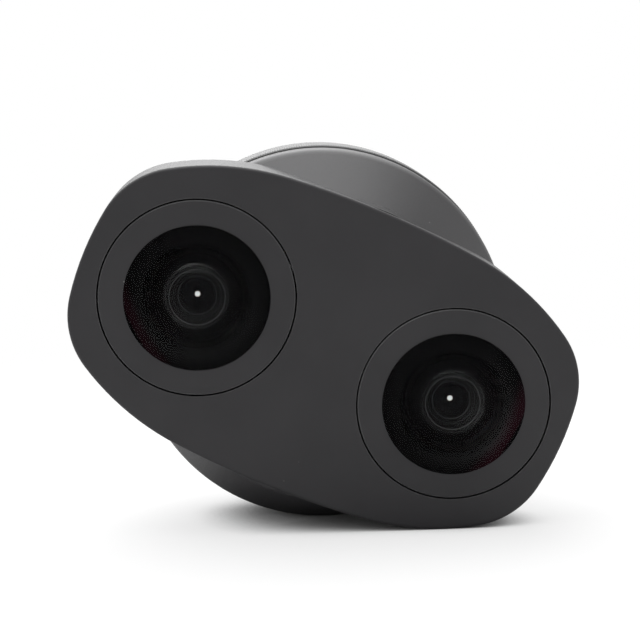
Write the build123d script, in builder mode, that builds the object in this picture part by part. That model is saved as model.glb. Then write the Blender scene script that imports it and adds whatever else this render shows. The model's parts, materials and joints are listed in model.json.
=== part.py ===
from build123d import *
from math import asin, atan2, ceil, cos, degrees, hypot, radians, sin, sqrt
import os

# A dual fisheye lens: two folded light paths side by side in one barrel.
# Lengths are in millimetres and angles in degrees. The origin is the centre of the mount flange.
# Forward is -Y, so a depth is a distance in front of the flange. X runs along the baseline, +Z is up.

# Optical layout
baseline = 60.0              # between the two front glasses
rear_baseline = 17.5         # between the two paths where they leave the lens
glass_radius = 15.6          # glass seen inside the front ring
glass_height = 5.5           # dome of the front glass above the faceplate
running_fit = 0.05           # radial clearance of the turning and sliding fits
press_fit = 0.02             # radial room of a pressed pin
cut_margin = 1.0             # how far a cut starts and ends past the wall it goes through

# Faceplate outline, four tangent arcs a quarter
face_side = 3.65             # flat face left beside each opening
face_brow = 10.35            # flat face above and below the openings
crown_radius = 209.2
crown_half_length = 21.9
brow_radius = 57.2
corner_radius = 17.7
end_radius = 63.2
rim_width = 0.8              # rounded rim outside the flat face
plate_thickness = 2.0
opening_radius = 21.25       # openings for the moving front rings
face_screw_inset = 4.1       # middle screws from the edge of the flat face
face_corner_inset = 3.3      # corner screws from the edge
face_screw_angle = 52.0      # of the corner screws about the centres of the corner arcs
face_screw_cover = 0.6       # plate left over the tips of its screws
screw_shank = 0.8
screw_head = 1.6
screw_head_height = 1.0

# One optical unit: chassis, prisms and glasses
chassis_reach = 2.0          # of the chassis block past the axis of the front glass
chassis_half_height = 7.4
floor_thickness = 1.8
front_prism = 12.0           # leg of the first prism
rear_prism = 10.0            # leg of the second prism
prism_wall = 1.2
tip_wall = 0.85              # past the sharp corners of the prisms
bay_wall = 0.65              # between the iris and the rear prism
pocket_fit = 0.05
pocket_cover = 0.5           # between the front prism and the cup
front_ring_height = 2.4
ring_gap = 0.5               # round the moving front rings
ring_bevel = 0.4
ring_lap = 1.3               # of the front ring over the front glass
cup_step = 0.45
cup_flange = 2.0
cup_neck_wall = 1.55
cup_floor_thickness = 1.2
front_back_radius = 12.5     # concave back of the front glass
front_centre_thickness = 1.5
second_radius = 10.0
second_rise = 2.8            # from the seat of the third glass to the seat of the second
second_edge = 1.6            # thickness of the second glass at its edge
second_bulge = 3.6           # of its front, towards the face
second_hollow = 3.4          # of its back
front_rise = 3.6             # from the seat of the second glass to the seat of the front glass
third_radius = 6.0
third_edge = 2.0
third_front_hollow = 0.5
third_rear_hollow = 0.6
light_radius = 4.2
relay_radius = 3.5
relay_thickness = 2.5
rear_cell_radius = 7.4
rear_cell_rear = 2.0
rear_flange_radius = 8.55
rear_flange_thickness = 1.9
rear_glasses = (             # radius, rear, thickness, forward bulge of the front and the rear surface
    (5.5, 14.0, 3.5, 0.7, 0.4),
    (5.0, 8.0, 3.0, 0.7, 0.4),
    (4.6, 3.0, 2.5, -0.4, -0.6),
)

# Optics carriage
carriage_rim = 2.0
carriage_rear = 9.6
web_front = 20.4
carriage_web = 2.0
window_fit = 0.15            # round the flanges of the rear cells
relief_z = 21.0              # openings that lighten the web
relief_length = 26.0
relief_width = 8.0
post_radius = 1.2
post_height = 4.0
post_x = 26.5
post_z = 5.0
unit_gap = 0.1               # between the carriage web and the two chassis

# Focus ring, cam sleeve and the pins that work in them
ring_rear = 11.8
ring_front = 23.0
ring_wall = 4.5
rib_count = 180
rib_depth = 0.35
focus_angle = 90.0           # turn from infinity to the closest focus
focus_travel = 0.14          # forward travel of both light paths over that turn
sleeve_wall = 1.95
sleeve_rear = 12.2
sleeve_front = 22.0
drive_pin_radius = 1.5
drive_pin_depth = 18.5
drive_pin_cover = 1.9        # of the focus ring over the ends of its pins
drive_angles = (0.0, 180.0)
follower_shank = 1.0
follower_radius = 1.2
follower_depth = 14.7
follower_angles = (90.0, 210.0, 330.0)
guide_pin_radius = 1.0
guide_pin_depth = 11.05
guide_angles = (60.0, 240.0)
guide_reach = 1.7            # of a guide pin into the carriage's rim

# Main tube, which the focus ring turns on
tube_wall = 2.0
tube_rear = 7.0
flange_rear = 24.0
flange_thickness = 3.4
flange_step = 1.95
flange_clearance = 0.05
joint_screw_angles = (30, 90, 150, 210, 270, 330)
joint_screw_shank = 0.7
joint_screw_head = 1.3
joint_screw_cover = 0.4      # ledge left over the tips of its screws

# Front housing
wall = 2.0
web_thickness = 2.2          # wall behind the faceplate that its screws pull on
ear_depth = 28.5             # back of the ears that reach past the barrel
ear_round = 3.5
band_gap = 0.6               # groove between the smooth band and the focus ring
shoulder_rise = 1.2          # from the ledge to where the shoulder's cone would meet the band
shoulder_taper = 8.8
shoulder_round = 6.0
ledge_thickness = 1.8
ledge_lap = 1.5
web_clearance = 0.35         # round the moving parts in the web

# Iris
blade_count = 7
blade_thickness = 0.1
blade_gap = 0.05
pivot_radius = 6.6           # pivots of the blades from the light path
iris_pin_radius = 0.3
drive_pin_end = 0.1          # from the end of a blade's drive pin to the inner side of the ring
stop_radius = 2.85           # fully open
blade_inner_radius = 3.0
blade_outer_radius = 5.45
blade_sweep = 128.0
blade_neck = 12.0            # sweep of the neck that carries the pivot
blade_lead = 4.0             # of the band and the neck behind the pivot's angle
blade_margin = 0.5           # round the pivot
tail_angle = 20.0
tail_width = 1.3
iris_turn = 35.0             # turn of the drive ring from open to closed
blade_turn = 20.0
iris_radius = 9.0
iris_bay_gap = 0.1           # between its cover and the inner wall of its bay
iris_floor_gap = 0.2         # between the iris and the floor of its bay
iris_base_thickness = 1.0
iris_ring_thickness = 0.8
iris_ring_inner = 5.6
iris_ring_outer = 8.3
iris_ring_fit = 0.08
iris_window = (45.0, 135.0)  # opening in the rim for the geared sector
iris_cover_thickness = 0.55
iris_cover_hole = 3.2
tab_half_width = 3.2
shaft_radius = 0.4
shaft_length = 4.0
gear_module = 0.4
sector_pitch_radius = 10.4
pinion_teeth = 10
motor_radius = 3.0
motor_length = 9.0

# Left and right balance
balance_throw = 0.0577       # eccentricity of the adjusting screw's tip
balance_shank = 1.3
balance_head_radius = 2.1
balance_head = 1.8
balance_tip_radius = 0.8
balance_tip = 2.0
balance_slot_half = 1.3
socket_across = 1.5
socket_depth = 1.2
wrench_radius = 1.0
lug_gap = 0.3
lug_thickness = 1.3
lug_half_width = 3.5

# Rear barrel, bayonet and what sits inside it
rear_edge = 0.4
barrel_gap = 0.3             # groove between the focus ring and the rear barrel
barrel_wall = 3.85
barrel_round = 2.0
mount_flange = 6.1           # width of the seat outside the spigot
mount_thickness = 2.4
mount_fit = 0.1
base_reach = 0.5             # of the barrel's base behind the mount, outside its rim
mount_lip = 1.8
throat_radius = 23.8
spigot_wall = 1.6
spigot_length = 5.6
bayonet_lug = 1.6
bayonet_reach = 1.6
lug_sweeps = ((60.0, 44.0), (180.0, 52.0), (300.0, 48.0))
lock_hole_radius = 1.6
lock_hole_depth = 2.0
lock_hole_angle = 5.0
mount_screw_angles = (45.0, 135.0, 225.0, 315.0)
mount_screw_head = 1.9
mount_screw_shank = 0.95
mount_screw_tip = 3.6
base_thickness = 1.6
standoff_radius = 2.0
standoff_height = 1.0
board_thickness = 1.0
board_inner = 18.6
board_gap = 0.8              # round the board, inside the barrel's wall
chip_circle = 24.0
chip_angles = (40.0, 140.0, 300.0)
chip_width = 5.0
chip_length = 4.0
chip_height = 1.0
baffle_rear = -1.0
baffle_thickness = 1.6
baffle_fit = 0.1
baffle_wall = 1.1
baffle_flange = 0.8
baffle_lap = 2.1
filter_window = 11.0
filter_round = 1.2           # corners of the windows
filter_frame_width = 15.6
filter_frame_height = 16.0
filter_frame_depth = 2.0
filter_slot = 0.4
filter_slot_width = 13.0
filter_slot_height = 14.4
contact_count = 11
contact_pitch = 5.4          # degrees from one contact to the next
contact_radius = 0.6
contact_length = 2.5
contact_proud = 0.35
contact_gap = 0.4
contact_width = 4.2
contact_height = 3.8
contact_sweep = 64.0
seal_lip = 0.3
bead_radius = 1.25
bead_depth = 0.8
bead_proud = 0.35


def forward(depth):
    """A plane that faces forward, at a depth in front of the flange. Its axes are X and Z."""
    return Plane.XZ.offset(depth)


def half_plane(at=(0, 0), angle=0.0):
    """A half section through the forward axis at (x, z). Its axes are the radius and the depth."""
    turn = radians(angle)
    return Plane(
        origin=(at[0], 0, at[1]),
        x_dir=(cos(turn), 0, sin(turn)),
        z_dir=(sin(turn), 0, -cos(turn)),
    )


def along(at=(0, 0)):
    """The axis that runs forward at (x, z)."""
    return Axis((at[0], 0, at[1]), (0, -1, 0))


def radial(angle, depth, radius):
    """A plane that faces outwards from the main axis."""
    out = Vector(cos(radians(angle)), 0, sin(radians(angle)))
    return Plane(origin=out * radius + Vector(0, -depth, 0), x_dir=(0, -1, 0), z_dir=out)


def across(x):
    """A plane over the folded leg of the right unit, facing inwards. Its axes are forward and up."""
    return Plane(origin=(x, -fold_depth, 0), x_dir=(0, -1, 0), z_dir=(-1, 0, 0))


def polar(radius, angle):
    return (radius * cos(radians(angle)), radius * sin(radians(angle)))


def dome(apex, curve_radius, radius):
    """Depth of a spherical surface that bulges forward, at a radius from its axis."""
    return apex - curve_radius + sqrt(curve_radius**2 - radius**2)


def section(points, at=(0, 0), angle=0.0):
    """A closed half section given as (radius, depth) points."""
    with BuildSketch(half_plane(at, angle)) as profile:
        with BuildLine():
            Polyline(*points, close=True)
        make_face()
    return profile.sketch


def lens_section(at, edge, front, rear):
    """A half section of a lens. front and rear are (depth at the edge, bulge towards the front)."""
    with BuildSketch(half_plane(at)) as profile:
        with BuildLine():
            surfaces = []
            for depth, bulge in (front, rear):
                curve = (edge**2 + bulge**2) / (2 * bulge)
                rise = sqrt(curve**2 - (edge / 2) ** 2) - sqrt(curve**2 - edge**2)
                middle = (edge / 2, depth + (rise if bulge > 0 else -rise))
                surfaces.append(ThreePointArc((0, depth + bulge), middle, (edge, depth)))
            Line(surfaces[0] @ 0, surfaces[1] @ 0)
            Line(surfaces[0] @ 1, surfaces[1] @ 1)
        make_face()
    return profile.sketch


def meeting_point(centre_a, radius_a, centre_b, radius_b):
    """The upper crossing of two circles in the first quadrant."""
    run, rise = centre_b[0] - centre_a[0], centre_b[1] - centre_a[1]
    apart = hypot(run, rise)
    share = (radius_a**2 - radius_b**2 + apart**2) / (2 * apart)
    side = sqrt(radius_a**2 - share**2)
    x = centre_a[0] + (share * run + side * rise) / apart
    z = centre_a[1] + (share * rise - side * run) / apart
    x_other = centre_a[0] + (share * run - side * rise) / apart
    z_other = centre_a[1] + (share * rise + side * run) / apart
    return (x, z) if x + z > x_other + z_other else (x_other, z_other)


def outline_centres():
    """The centres of the outline's crown, brow, corner and end arcs in the first quadrant."""
    lean = asin(crown_half_length / crown_radius)
    crown_centre = (0, face_half_height - crown_radius)
    reach = crown_radius - brow_radius
    brow_centre = (reach * sin(lean), crown_centre[1] + reach * cos(lean))
    end_centre = (face_half_width - end_radius, 0)
    corner_centre = meeting_point(
        brow_centre, brow_radius - corner_radius, end_centre, end_radius - corner_radius
    )
    return crown_centre, brow_centre, corner_centre, end_centre


def plate_outline(depth, grow=0.0):
    """The faceplate's outline at a depth, moved outwards by grow."""
    centres = outline_centres()
    brow_centre, corner_centre, end_centre = centres[1:]
    lean = asin(crown_half_length / crown_radius)
    to_corner = degrees(atan2(corner_centre[1] - brow_centre[1], corner_centre[0] - brow_centre[0]))
    to_end = degrees(atan2(corner_centre[1], corner_centre[0] - end_centre[0]))
    stops = (90, 90 - degrees(lean), to_corner, to_end, 0)
    radii = (crown_radius, brow_radius, corner_radius, end_radius)
    with BuildSketch(forward(depth)) as outline:
        with BuildLine():
            for centre, radius, start, stop in zip(centres, radii, stops, stops[1:]):
                CenterArc(centre, radius + grow, start, stop - start)
            mirror(about=Plane.XZ)
            mirror(about=Plane.YZ)
        make_face()
    return outline.sketch


def prism_outline(x, leg, shrink=0.0):
    """A right-angled prism that folds the light at x, seen from above. A negative leg turns it half round."""
    reach = leg / 2
    inset = shrink if leg > 0 else -shrink
    slant = inset * (1 + sqrt(2))
    return [
        (x - reach + inset, fold_depth + reach - inset),
        (x + reach - slant, fold_depth + reach - inset),
        (x - reach + inset, fold_depth - reach + slant),
    ]


def from_above(height):
    """A plane that looks down on a light path. Its axes are X and the depth."""
    return Plane(origin=(0, 0, height), x_dir=(1, 0, 0), z_dir=(0, 0, -1))


# Values that follow from the driving dimensions. The barrel's radii build up from the chassis inside it.
half_base = baseline / 2
half_rear = rear_baseline / 2
face_half_width = half_base + opening_radius + face_side
face_half_height = opening_radius + face_brow
chassis_rear = web_front + unit_gap
floor_front = chassis_rear + floor_thickness
fold_depth = floor_front + iris_floor_gap + iris_radius
cup_floor = fold_depth + front_prism / 2 + pocket_cover
third_seat = cup_floor + cup_floor_thickness
second_seat = third_seat + second_rise
cup_front = second_seat + front_rise
face_depth = cup_front + front_ring_height
seat_depth = face_depth - plate_thickness
web_rear = seat_depth - web_thickness
chassis_outer = half_base + chassis_reach
carriage_radius = chassis_outer + carriage_rim - running_fit
sleeve_inner = carriage_radius + running_fit
sleeve_outer = sleeve_inner + sleeve_wall
tube_inner = sleeve_outer + running_fit
tube_radius = tube_inner + tube_wall
flange_radius = tube_radius + flange_step
flange_front = flange_rear + flange_thickness
ledge_front = flange_front + ledge_thickness
shoulder_depth = ledge_front + shoulder_rise
band_radius = flange_radius + flange_clearance + wall
band_rear = ring_front + band_gap
shoulder_front_radius = band_radius - shoulder_taper
ring_radius = tube_radius + ring_wall
drive_pin_tip = ring_radius - drive_pin_cover
barrel_front = ring_rear - barrel_gap
barrel_radius = tube_radius + running_fit + barrel_wall
spigot_radius = throat_radius + spigot_wall
lug_radius = spigot_radius + bayonet_reach
mount_radius = spigot_radius + mount_flange
rear_radius = mount_radius + mount_fit + mount_lip
base_radius = mount_radius + base_reach
base_front = mount_thickness + base_thickness
screw_circle = (spigot_radius + mount_radius) / 2
baffle_radius = throat_radius - baffle_fit
baffle_flange_radius = throat_radius + baffle_lap
contact_outer = throat_radius - contact_gap
contact_inner = contact_outer - contact_width
contact_circle = (contact_inner + contact_outer) / 2
contact_rear = baffle_rear - contact_height
board_rear = base_front + standoff_height
board_share = standoff_height / (tube_rear - base_front)
board_outer = base_radius + (tube_inner - base_radius) * board_share - board_gap
ring_outer_radius = opening_radius - ring_gap
cup_radius = ring_outer_radius - cup_step
cup_neck_radius = second_radius + pocket_fit + cup_neck_wall
front_edge_radius = glass_radius + ring_lap
bay_inner = half_rear + rear_prism / 2 + bay_wall
blade_step = blade_thickness + blade_gap
iris_stack = iris_base_thickness + blade_gap + blade_step * blade_count + iris_ring_thickness
iris_outer_x = bay_inner + iris_bay_gap + iris_stack + blade_gap + iris_cover_thickness
relay_wall = half_base - front_prism / 2 - iris_outer_x
relay_x = iris_outer_x + relay_wall / 2 + relay_thickness / 2
balance_depth = flange_rear + flange_thickness / 2
lug_x = chassis_outer + lug_gap + lug_thickness
screw_reach = polar(corner_radius - face_corner_inset, face_screw_angle)
corner_screw = Vector(*outline_centres()[2]) + Vector(*screw_reach)
face_screw_middle = face_half_height - face_screw_inset
face_screws = [(0, face_screw_middle), (0, -face_screw_middle)]
face_screws += [(side * corner_screw.X, end * corner_screw.Y) for side in (-1, 1) for end in (-1, 1)]
face_screw_tip = face_depth - face_screw_cover
joint_screw_tip = flange_front + ledge_thickness - joint_screw_cover
cone_start = Vector(0, -mount_thickness, rear_radius)
cone_end = Vector(0, -barrel_front + 1.65 * barrel_round, barrel_radius - 0.75 * barrel_round)
cone_run = cone_end - cone_start
bead_plane = Plane(
    origin=(cone_start + cone_end) / 2,
    x_dir=(1, 0, 0),
    z_dir=(0, cone_run.Z, -cone_run.Y),
)
mount_screw_places = [polar(screw_circle, angle) for angle in mount_screw_angles]
joint_screws = [polar(tube_radius, angle) for angle in joint_screw_angles]
first_contact = 270 - contact_pitch * (contact_count - 1) / 2
contact_places = [polar(contact_circle, first_contact + contact_pitch * k) for k in range(contact_count)]

with BuildPart() as faceplate:
    extrude(plate_outline(seat_depth, rim_width), amount=plate_thickness)
    fillet(faceplate.edges().group_by(Axis.Y)[0], radius=rim_width)
    with BuildSketch(forward(face_depth)):
        with Locations((half_base, 0), (-half_base, 0)):
            Circle(opening_radius)
    extrude(amount=-plate_thickness, mode=Mode.SUBTRACT)
    with BuildSketch(forward(seat_depth)):
        with Locations(*face_screws):
            Circle(screw_shank + press_fit)
    extrude(amount=face_screw_tip - seat_depth, mode=Mode.SUBTRACT)

with BuildPart() as faceplate_screws:
    with BuildSketch(forward(web_rear)):
        with Locations(*face_screws):
            Circle(screw_head)
    extrude(amount=-screw_head_height)
    with BuildSketch(forward(web_rear)):
        with Locations(*face_screws):
            Circle(screw_shank)
    extrude(amount=face_screw_tip - web_rear - press_fit)

with BuildPart() as front_housing:
    extrude(plate_outline(ear_depth, rim_width), amount=seat_depth - ear_depth)
    fillet(front_housing.edges().group_by(Axis.Y)[-1], radius=ear_round)
    with BuildSketch(half_plane()):
        with BuildLine():
            Polyline(
                (shoulder_front_radius, seat_depth),
                (0, seat_depth),
                (0, band_rear),
                (band_radius, band_rear),
            )
            FilletPolyline(
                (band_radius, band_rear),
                (band_radius, shoulder_depth),
                (shoulder_front_radius, seat_depth),
                radius=shoulder_round,
            )
        make_face()
    revolve(axis=along())
    hollow = plate_outline(ear_depth + wall, rim_width - wall)
    extrude(hollow, amount=web_rear - ear_depth - wall, mode=Mode.SUBTRACT)
    cone_slope = (band_radius - shoulder_front_radius) / (seat_depth - shoulder_depth)
    cavity_front_radius = shoulder_front_radius + cone_slope * (seat_depth - web_rear) - wall
    cavity = [
        (0, web_rear),
        (cavity_front_radius, web_rear),
        (band_radius - wall, shoulder_depth),
        (band_radius - wall, ledge_front),
        (tube_radius - ledge_lap, ledge_front),
        (tube_radius - ledge_lap, flange_front),
        (band_radius - wall, flange_front),
        (band_radius - wall, band_rear),
        (0, band_rear),
    ]
    revolve(section(cavity), axis=along(), mode=Mode.SUBTRACT)
    with BuildSketch(forward(seat_depth)):
        with Locations((half_base, 0), (-half_base, 0)):
            Circle(opening_radius + web_clearance)
        with Locations(*face_screws):
            Circle(screw_shank + 0.1)
    extrude(amount=-web_thickness, mode=Mode.SUBTRACT)
    with BuildSketch(forward(flange_front)):
        with Locations(*joint_screws):
            Circle(joint_screw_shank + press_fit)
    extrude(amount=joint_screw_tip + press_fit - flange_front, mode=Mode.SUBTRACT)
    with BuildSketch(radial(180, balance_depth, band_radius - 2 * wall)):
        Circle(wrench_radius)
    extrude(amount=3 * wall, mode=Mode.SUBTRACT)

with BuildPart() as main_tube:
    tube = [
        (tube_inner, tube_rear),
        (tube_radius, tube_rear),
        (tube_radius, flange_rear),
        (flange_radius, flange_rear),
        (flange_radius, flange_front),
        (tube_inner, flange_front),
    ]
    revolve(section(tube), axis=along())
    slot_slack = degrees((drive_pin_radius + 0.15) / tube_inner)
    slot = [
        (tube_radius - 2 * tube_wall, drive_pin_depth - drive_pin_radius - running_fit),
        (tube_radius + tube_wall, drive_pin_depth - drive_pin_radius - running_fit),
        (tube_radius + tube_wall, drive_pin_depth + drive_pin_radius + running_fit),
        (tube_radius - 2 * tube_wall, drive_pin_depth + drive_pin_radius + running_fit),
    ]
    for start in drive_angles:
        revolve(
            section(slot, angle=start - slot_slack),
            axis=along(),
            revolution_arc=focus_angle + 2 * slot_slack,
            mode=Mode.SUBTRACT,
        )
    for angle in guide_angles:
        with BuildSketch(radial(angle, guide_pin_depth, tube_radius - 2 * tube_wall)):
            Circle(guide_pin_radius + press_fit)
        extrude(amount=3 * tube_wall, mode=Mode.SUBTRACT)
    with Locations(forward(flange_rear)):
        with Locations(*joint_screws):
            with Locations(Rotation(180, 0, 0)):
                CounterSinkHole(
                    joint_screw_shank + 0.1,
                    joint_screw_head + press_fit,
                    depth=flange_thickness,
                    counter_sink_angle=90,
                )
    with BuildSketch(radial(180, balance_depth, tube_radius - 2 * tube_wall)):
        Circle(wrench_radius)
    extrude(amount=4 * tube_wall, mode=Mode.SUBTRACT)

with BuildPart() as housing_screws:
    screw = [
        (0, flange_rear),
        (joint_screw_head, flange_rear),
        (joint_screw_shank, flange_rear + joint_screw_head - joint_screw_shank),
        (joint_screw_shank, joint_screw_tip),
        (0, joint_screw_tip),
    ]
    for place in joint_screws:
        revolve(section(screw, at=place), axis=along(place))

with BuildPart() as guide_pins:
    for angle in guide_angles:
        with BuildSketch(radial(angle, guide_pin_depth, carriage_radius - guide_reach)):
            Circle(guide_pin_radius)
        extrude(amount=tube_radius - 0.1 - carriage_radius + guide_reach)

with BuildPart() as rear_barrel:
    barrel = [
        (rear_radius, rear_edge),
        (rear_radius, mount_thickness),
        (cone_end.Z, -cone_end.Y),
        (barrel_radius, barrel_front - 0.65 * barrel_round),
        (barrel_radius, barrel_front),
        (tube_radius + running_fit, barrel_front),
        (tube_radius + running_fit, tube_rear),
        (tube_inner, tube_rear),
        (base_radius, base_front),
        (throat_radius + 0.4, base_front),
        (throat_radius + 0.4, mount_thickness + baffle_flange),
        (baffle_flange_radius + mount_fit, mount_thickness + baffle_flange),
        (baffle_flange_radius + mount_fit, mount_thickness),
        (mount_radius + mount_fit, mount_thickness),
        (mount_radius + mount_fit, rear_edge),
    ]
    revolve(section(barrel), axis=along())
    with BuildSketch(forward(base_front)):
        with PolarLocations(screw_circle, 4):
            Circle(standoff_radius)
    extrude(amount=standoff_height)
    with BuildSketch(forward(mount_thickness)):
        with Locations(*mount_screw_places):
            Circle(mount_screw_shank + press_fit)
    extrude(amount=mount_screw_tip - mount_thickness + press_fit, mode=Mode.SUBTRACT)
    with BuildSketch(bead_plane):
        Circle(bead_radius)
    extrude(amount=-bead_depth, mode=Mode.SUBTRACT)

with BuildPart() as index_bead:
    with BuildSketch(bead_plane):
        Circle(bead_radius)
    extrude(amount=-bead_depth)
    extrude(index_bead.faces().sort_by(Axis(bead_plane.origin, bead_plane.z_dir))[-1], amount=bead_proud)
    fillet(index_bead.edges().sort_by(Axis(bead_plane.origin, bead_plane.z_dir))[-1], radius=bead_proud * 0.9)

with BuildPart() as bayonet_mount:
    mount = [
        (throat_radius, mount_thickness),
        (mount_radius, mount_thickness),
        (mount_radius, 0),
        (spigot_radius, 0),
        (spigot_radius, -spigot_length),
        (throat_radius, -spigot_length),
    ]
    revolve(section(mount), axis=along())
    lug = [
        (spigot_radius - 0.5, -spigot_length),
        (lug_radius, -spigot_length),
        (lug_radius, bayonet_lug - spigot_length),
        (spigot_radius - 0.5, bayonet_lug - spigot_length),
    ]
    for middle, sweep in lug_sweeps:
        revolve(section(lug, angle=middle - sweep / 2), axis=along(), revolution_arc=sweep)
    with Locations(forward(0)):
        with Locations(*mount_screw_places):
            with Locations(Rotation(180, 0, 0)):
                CounterSinkHole(
                    mount_screw_shank + 0.1,
                    mount_screw_head + press_fit,
                    depth=mount_thickness,
                    counter_sink_angle=90,
                )
    with BuildSketch(forward(0)):
        with Locations(polar(screw_circle, lock_hole_angle)):
            Circle(lock_hole_radius)
    extrude(amount=lock_hole_depth, mode=Mode.SUBTRACT)

with BuildPart() as mount_screws:
    screw = [
        (0, 0),
        (mount_screw_head, 0),
        (mount_screw_shank, mount_screw_head - mount_screw_shank),
        (mount_screw_shank, mount_screw_tip),
        (0, mount_screw_tip),
    ]
    for place in mount_screw_places:
        revolve(section(screw, at=place), axis=along(place))

with BuildPart() as mount_seal:
    seal = [
        (mount_radius + 2 * mount_fit, rear_edge),
        (rear_radius - 3 * mount_fit, rear_edge),
        (rear_radius - mount_fit, -seal_lip),
        (mount_radius + 5 * mount_fit, -seal_lip),
    ]
    revolve(section(seal), axis=along())

with BuildPart() as rear_baffle:
    cup = [
        (0, baffle_rear),
        (baffle_radius, baffle_rear),
        (baffle_radius, mount_thickness),
        (baffle_flange_radius, mount_thickness),
        (baffle_flange_radius, mount_thickness + baffle_flange),
        (baffle_radius - baffle_wall, mount_thickness + baffle_flange),
        (baffle_radius - baffle_wall, baffle_rear + baffle_thickness),
        (0, baffle_rear + baffle_thickness),
    ]
    revolve(section(cup), axis=along())
    with BuildSketch(forward(baffle_rear)):
        with Locations((half_rear, 0), (-half_rear, 0)):
            RectangleRounded(filter_window, filter_window, filter_round)
    extrude(amount=baffle_thickness, mode=Mode.SUBTRACT)

with BuildPart() as filter_holders:
    for x in (-half_rear, half_rear):
        with BuildSketch(forward(baffle_rear)):
            with Locations((x, 0)):
                RectangleRounded(filter_frame_width, filter_frame_height, 0.8)
                RectangleRounded(filter_window, filter_window, filter_round, mode=Mode.SUBTRACT)
        extrude(amount=-filter_frame_depth)
        slot_rear = baffle_rear - filter_frame_depth / 2
        with BuildSketch(forward(slot_rear)):
            with Locations((x, filter_frame_height / 2 - filter_slot_height / 2)):
                Rectangle(filter_slot_width, filter_slot_height)
        extrude(amount=filter_slot, mode=Mode.SUBTRACT)

with BuildPart() as contact_block:
    block = [
        (contact_inner, baffle_rear),
        (contact_outer, baffle_rear),
        (contact_outer, contact_rear),
        (contact_inner, contact_rear),
    ]
    revolve(section(block, angle=270 - contact_sweep / 2), axis=along(), revolution_arc=contact_sweep)
    with BuildSketch(forward(contact_rear)):
        with Locations(*contact_places):
            Circle(contact_radius + press_fit)
    extrude(amount=contact_length, mode=Mode.SUBTRACT)

with BuildPart() as contact_pins:
    with BuildSketch(forward(contact_rear - contact_proud)):
        with Locations(*contact_places):
            Circle(contact_radius)
    extrude(amount=contact_length + contact_proud)

with BuildPart() as circuit_board:
    with BuildSketch(forward(board_rear)):
        Circle(board_outer)
        Circle(board_inner, mode=Mode.SUBTRACT)
    extrude(amount=board_thickness)
    with BuildSketch(forward(board_rear + board_thickness)):
        with Locations(*[polar(chip_circle, angle) for angle in chip_angles]):
            Rectangle(chip_width, chip_length)
    extrude(amount=chip_height)

with BuildPart() as focus_ring:
    valley = ring_radius - rib_depth
    pitch = 360 / rib_count
    rib_edges = []
    for rib in range(rib_count):
        for radius, share in ((valley, 0), (ring_radius, 0.3), (ring_radius, 0.7)):
            rib_edges.append(polar(radius, pitch * (rib + share)))
    with BuildSketch(forward(ring_rear)):
        with BuildLine():
            Polyline(*rib_edges, close=True)
        make_face()
        Circle(tube_radius + running_fit, mode=Mode.SUBTRACT)
    extrude(amount=ring_front - ring_rear)
    for angle in drive_angles:
        with BuildSketch(radial(angle, drive_pin_depth, tube_radius - cut_margin)):
            Circle(drive_pin_radius + press_fit)
        extrude(amount=drive_pin_tip + cut_margin - tube_radius, mode=Mode.SUBTRACT)

with BuildPart() as drive_pins:
    for angle in drive_angles:
        with BuildSketch(radial(angle, drive_pin_depth, sleeve_inner + 0.2)):
            Circle(drive_pin_radius)
        extrude(amount=drive_pin_tip - 0.05 - sleeve_inner - 0.2)

# The cam slots are cut with the cutter leaning a little, so that turning the sleeve moves the followers.
slot_half = follower_radius + running_fit
slot_end = degrees(slot_half / sleeve_inner) + 0.4
slot_circle = (sleeve_inner + sleeve_outer) / 2
slot_lean = degrees(asin(focus_travel / 2 / (slot_circle * sin(radians(focus_angle / 2)))))
cutters = []
for follower in follower_angles:
    with BuildPart() as cutter:
        cut = [
            (sleeve_inner - cut_margin, follower_depth + focus_travel / 2 - slot_half),
            (sleeve_outer + cut_margin, follower_depth + focus_travel / 2 - slot_half),
            (sleeve_outer + cut_margin, follower_depth + focus_travel / 2 + slot_half),
            (sleeve_inner - cut_margin, follower_depth + focus_travel / 2 + slot_half),
        ]
        revolve(
            section(cut, angle=follower - focus_angle - slot_end),
            axis=along(),
            revolution_arc=focus_angle + 2 * slot_end,
        )
    out = polar(1, follower - focus_angle / 2)
    hinge = Axis((0, -follower_depth - focus_travel / 2, 0), (out[0], 0, out[1]))
    cutters.append(cutter.part.rotate(hinge, -slot_lean))

with BuildPart() as focus_sleeve:
    sleeve = [
        (sleeve_inner, sleeve_rear),
        (sleeve_outer, sleeve_rear),
        (sleeve_outer, sleeve_front),
        (sleeve_inner, sleeve_front),
    ]
    revolve(section(sleeve), axis=along())
    for angle in drive_angles:
        with BuildSketch(radial(angle, drive_pin_depth, sleeve_inner - cut_margin)):
            Circle(drive_pin_radius + press_fit)
        extrude(amount=sleeve_wall + 2 * cut_margin, mode=Mode.SUBTRACT)
    add(cutters, mode=Mode.SUBTRACT)

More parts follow.
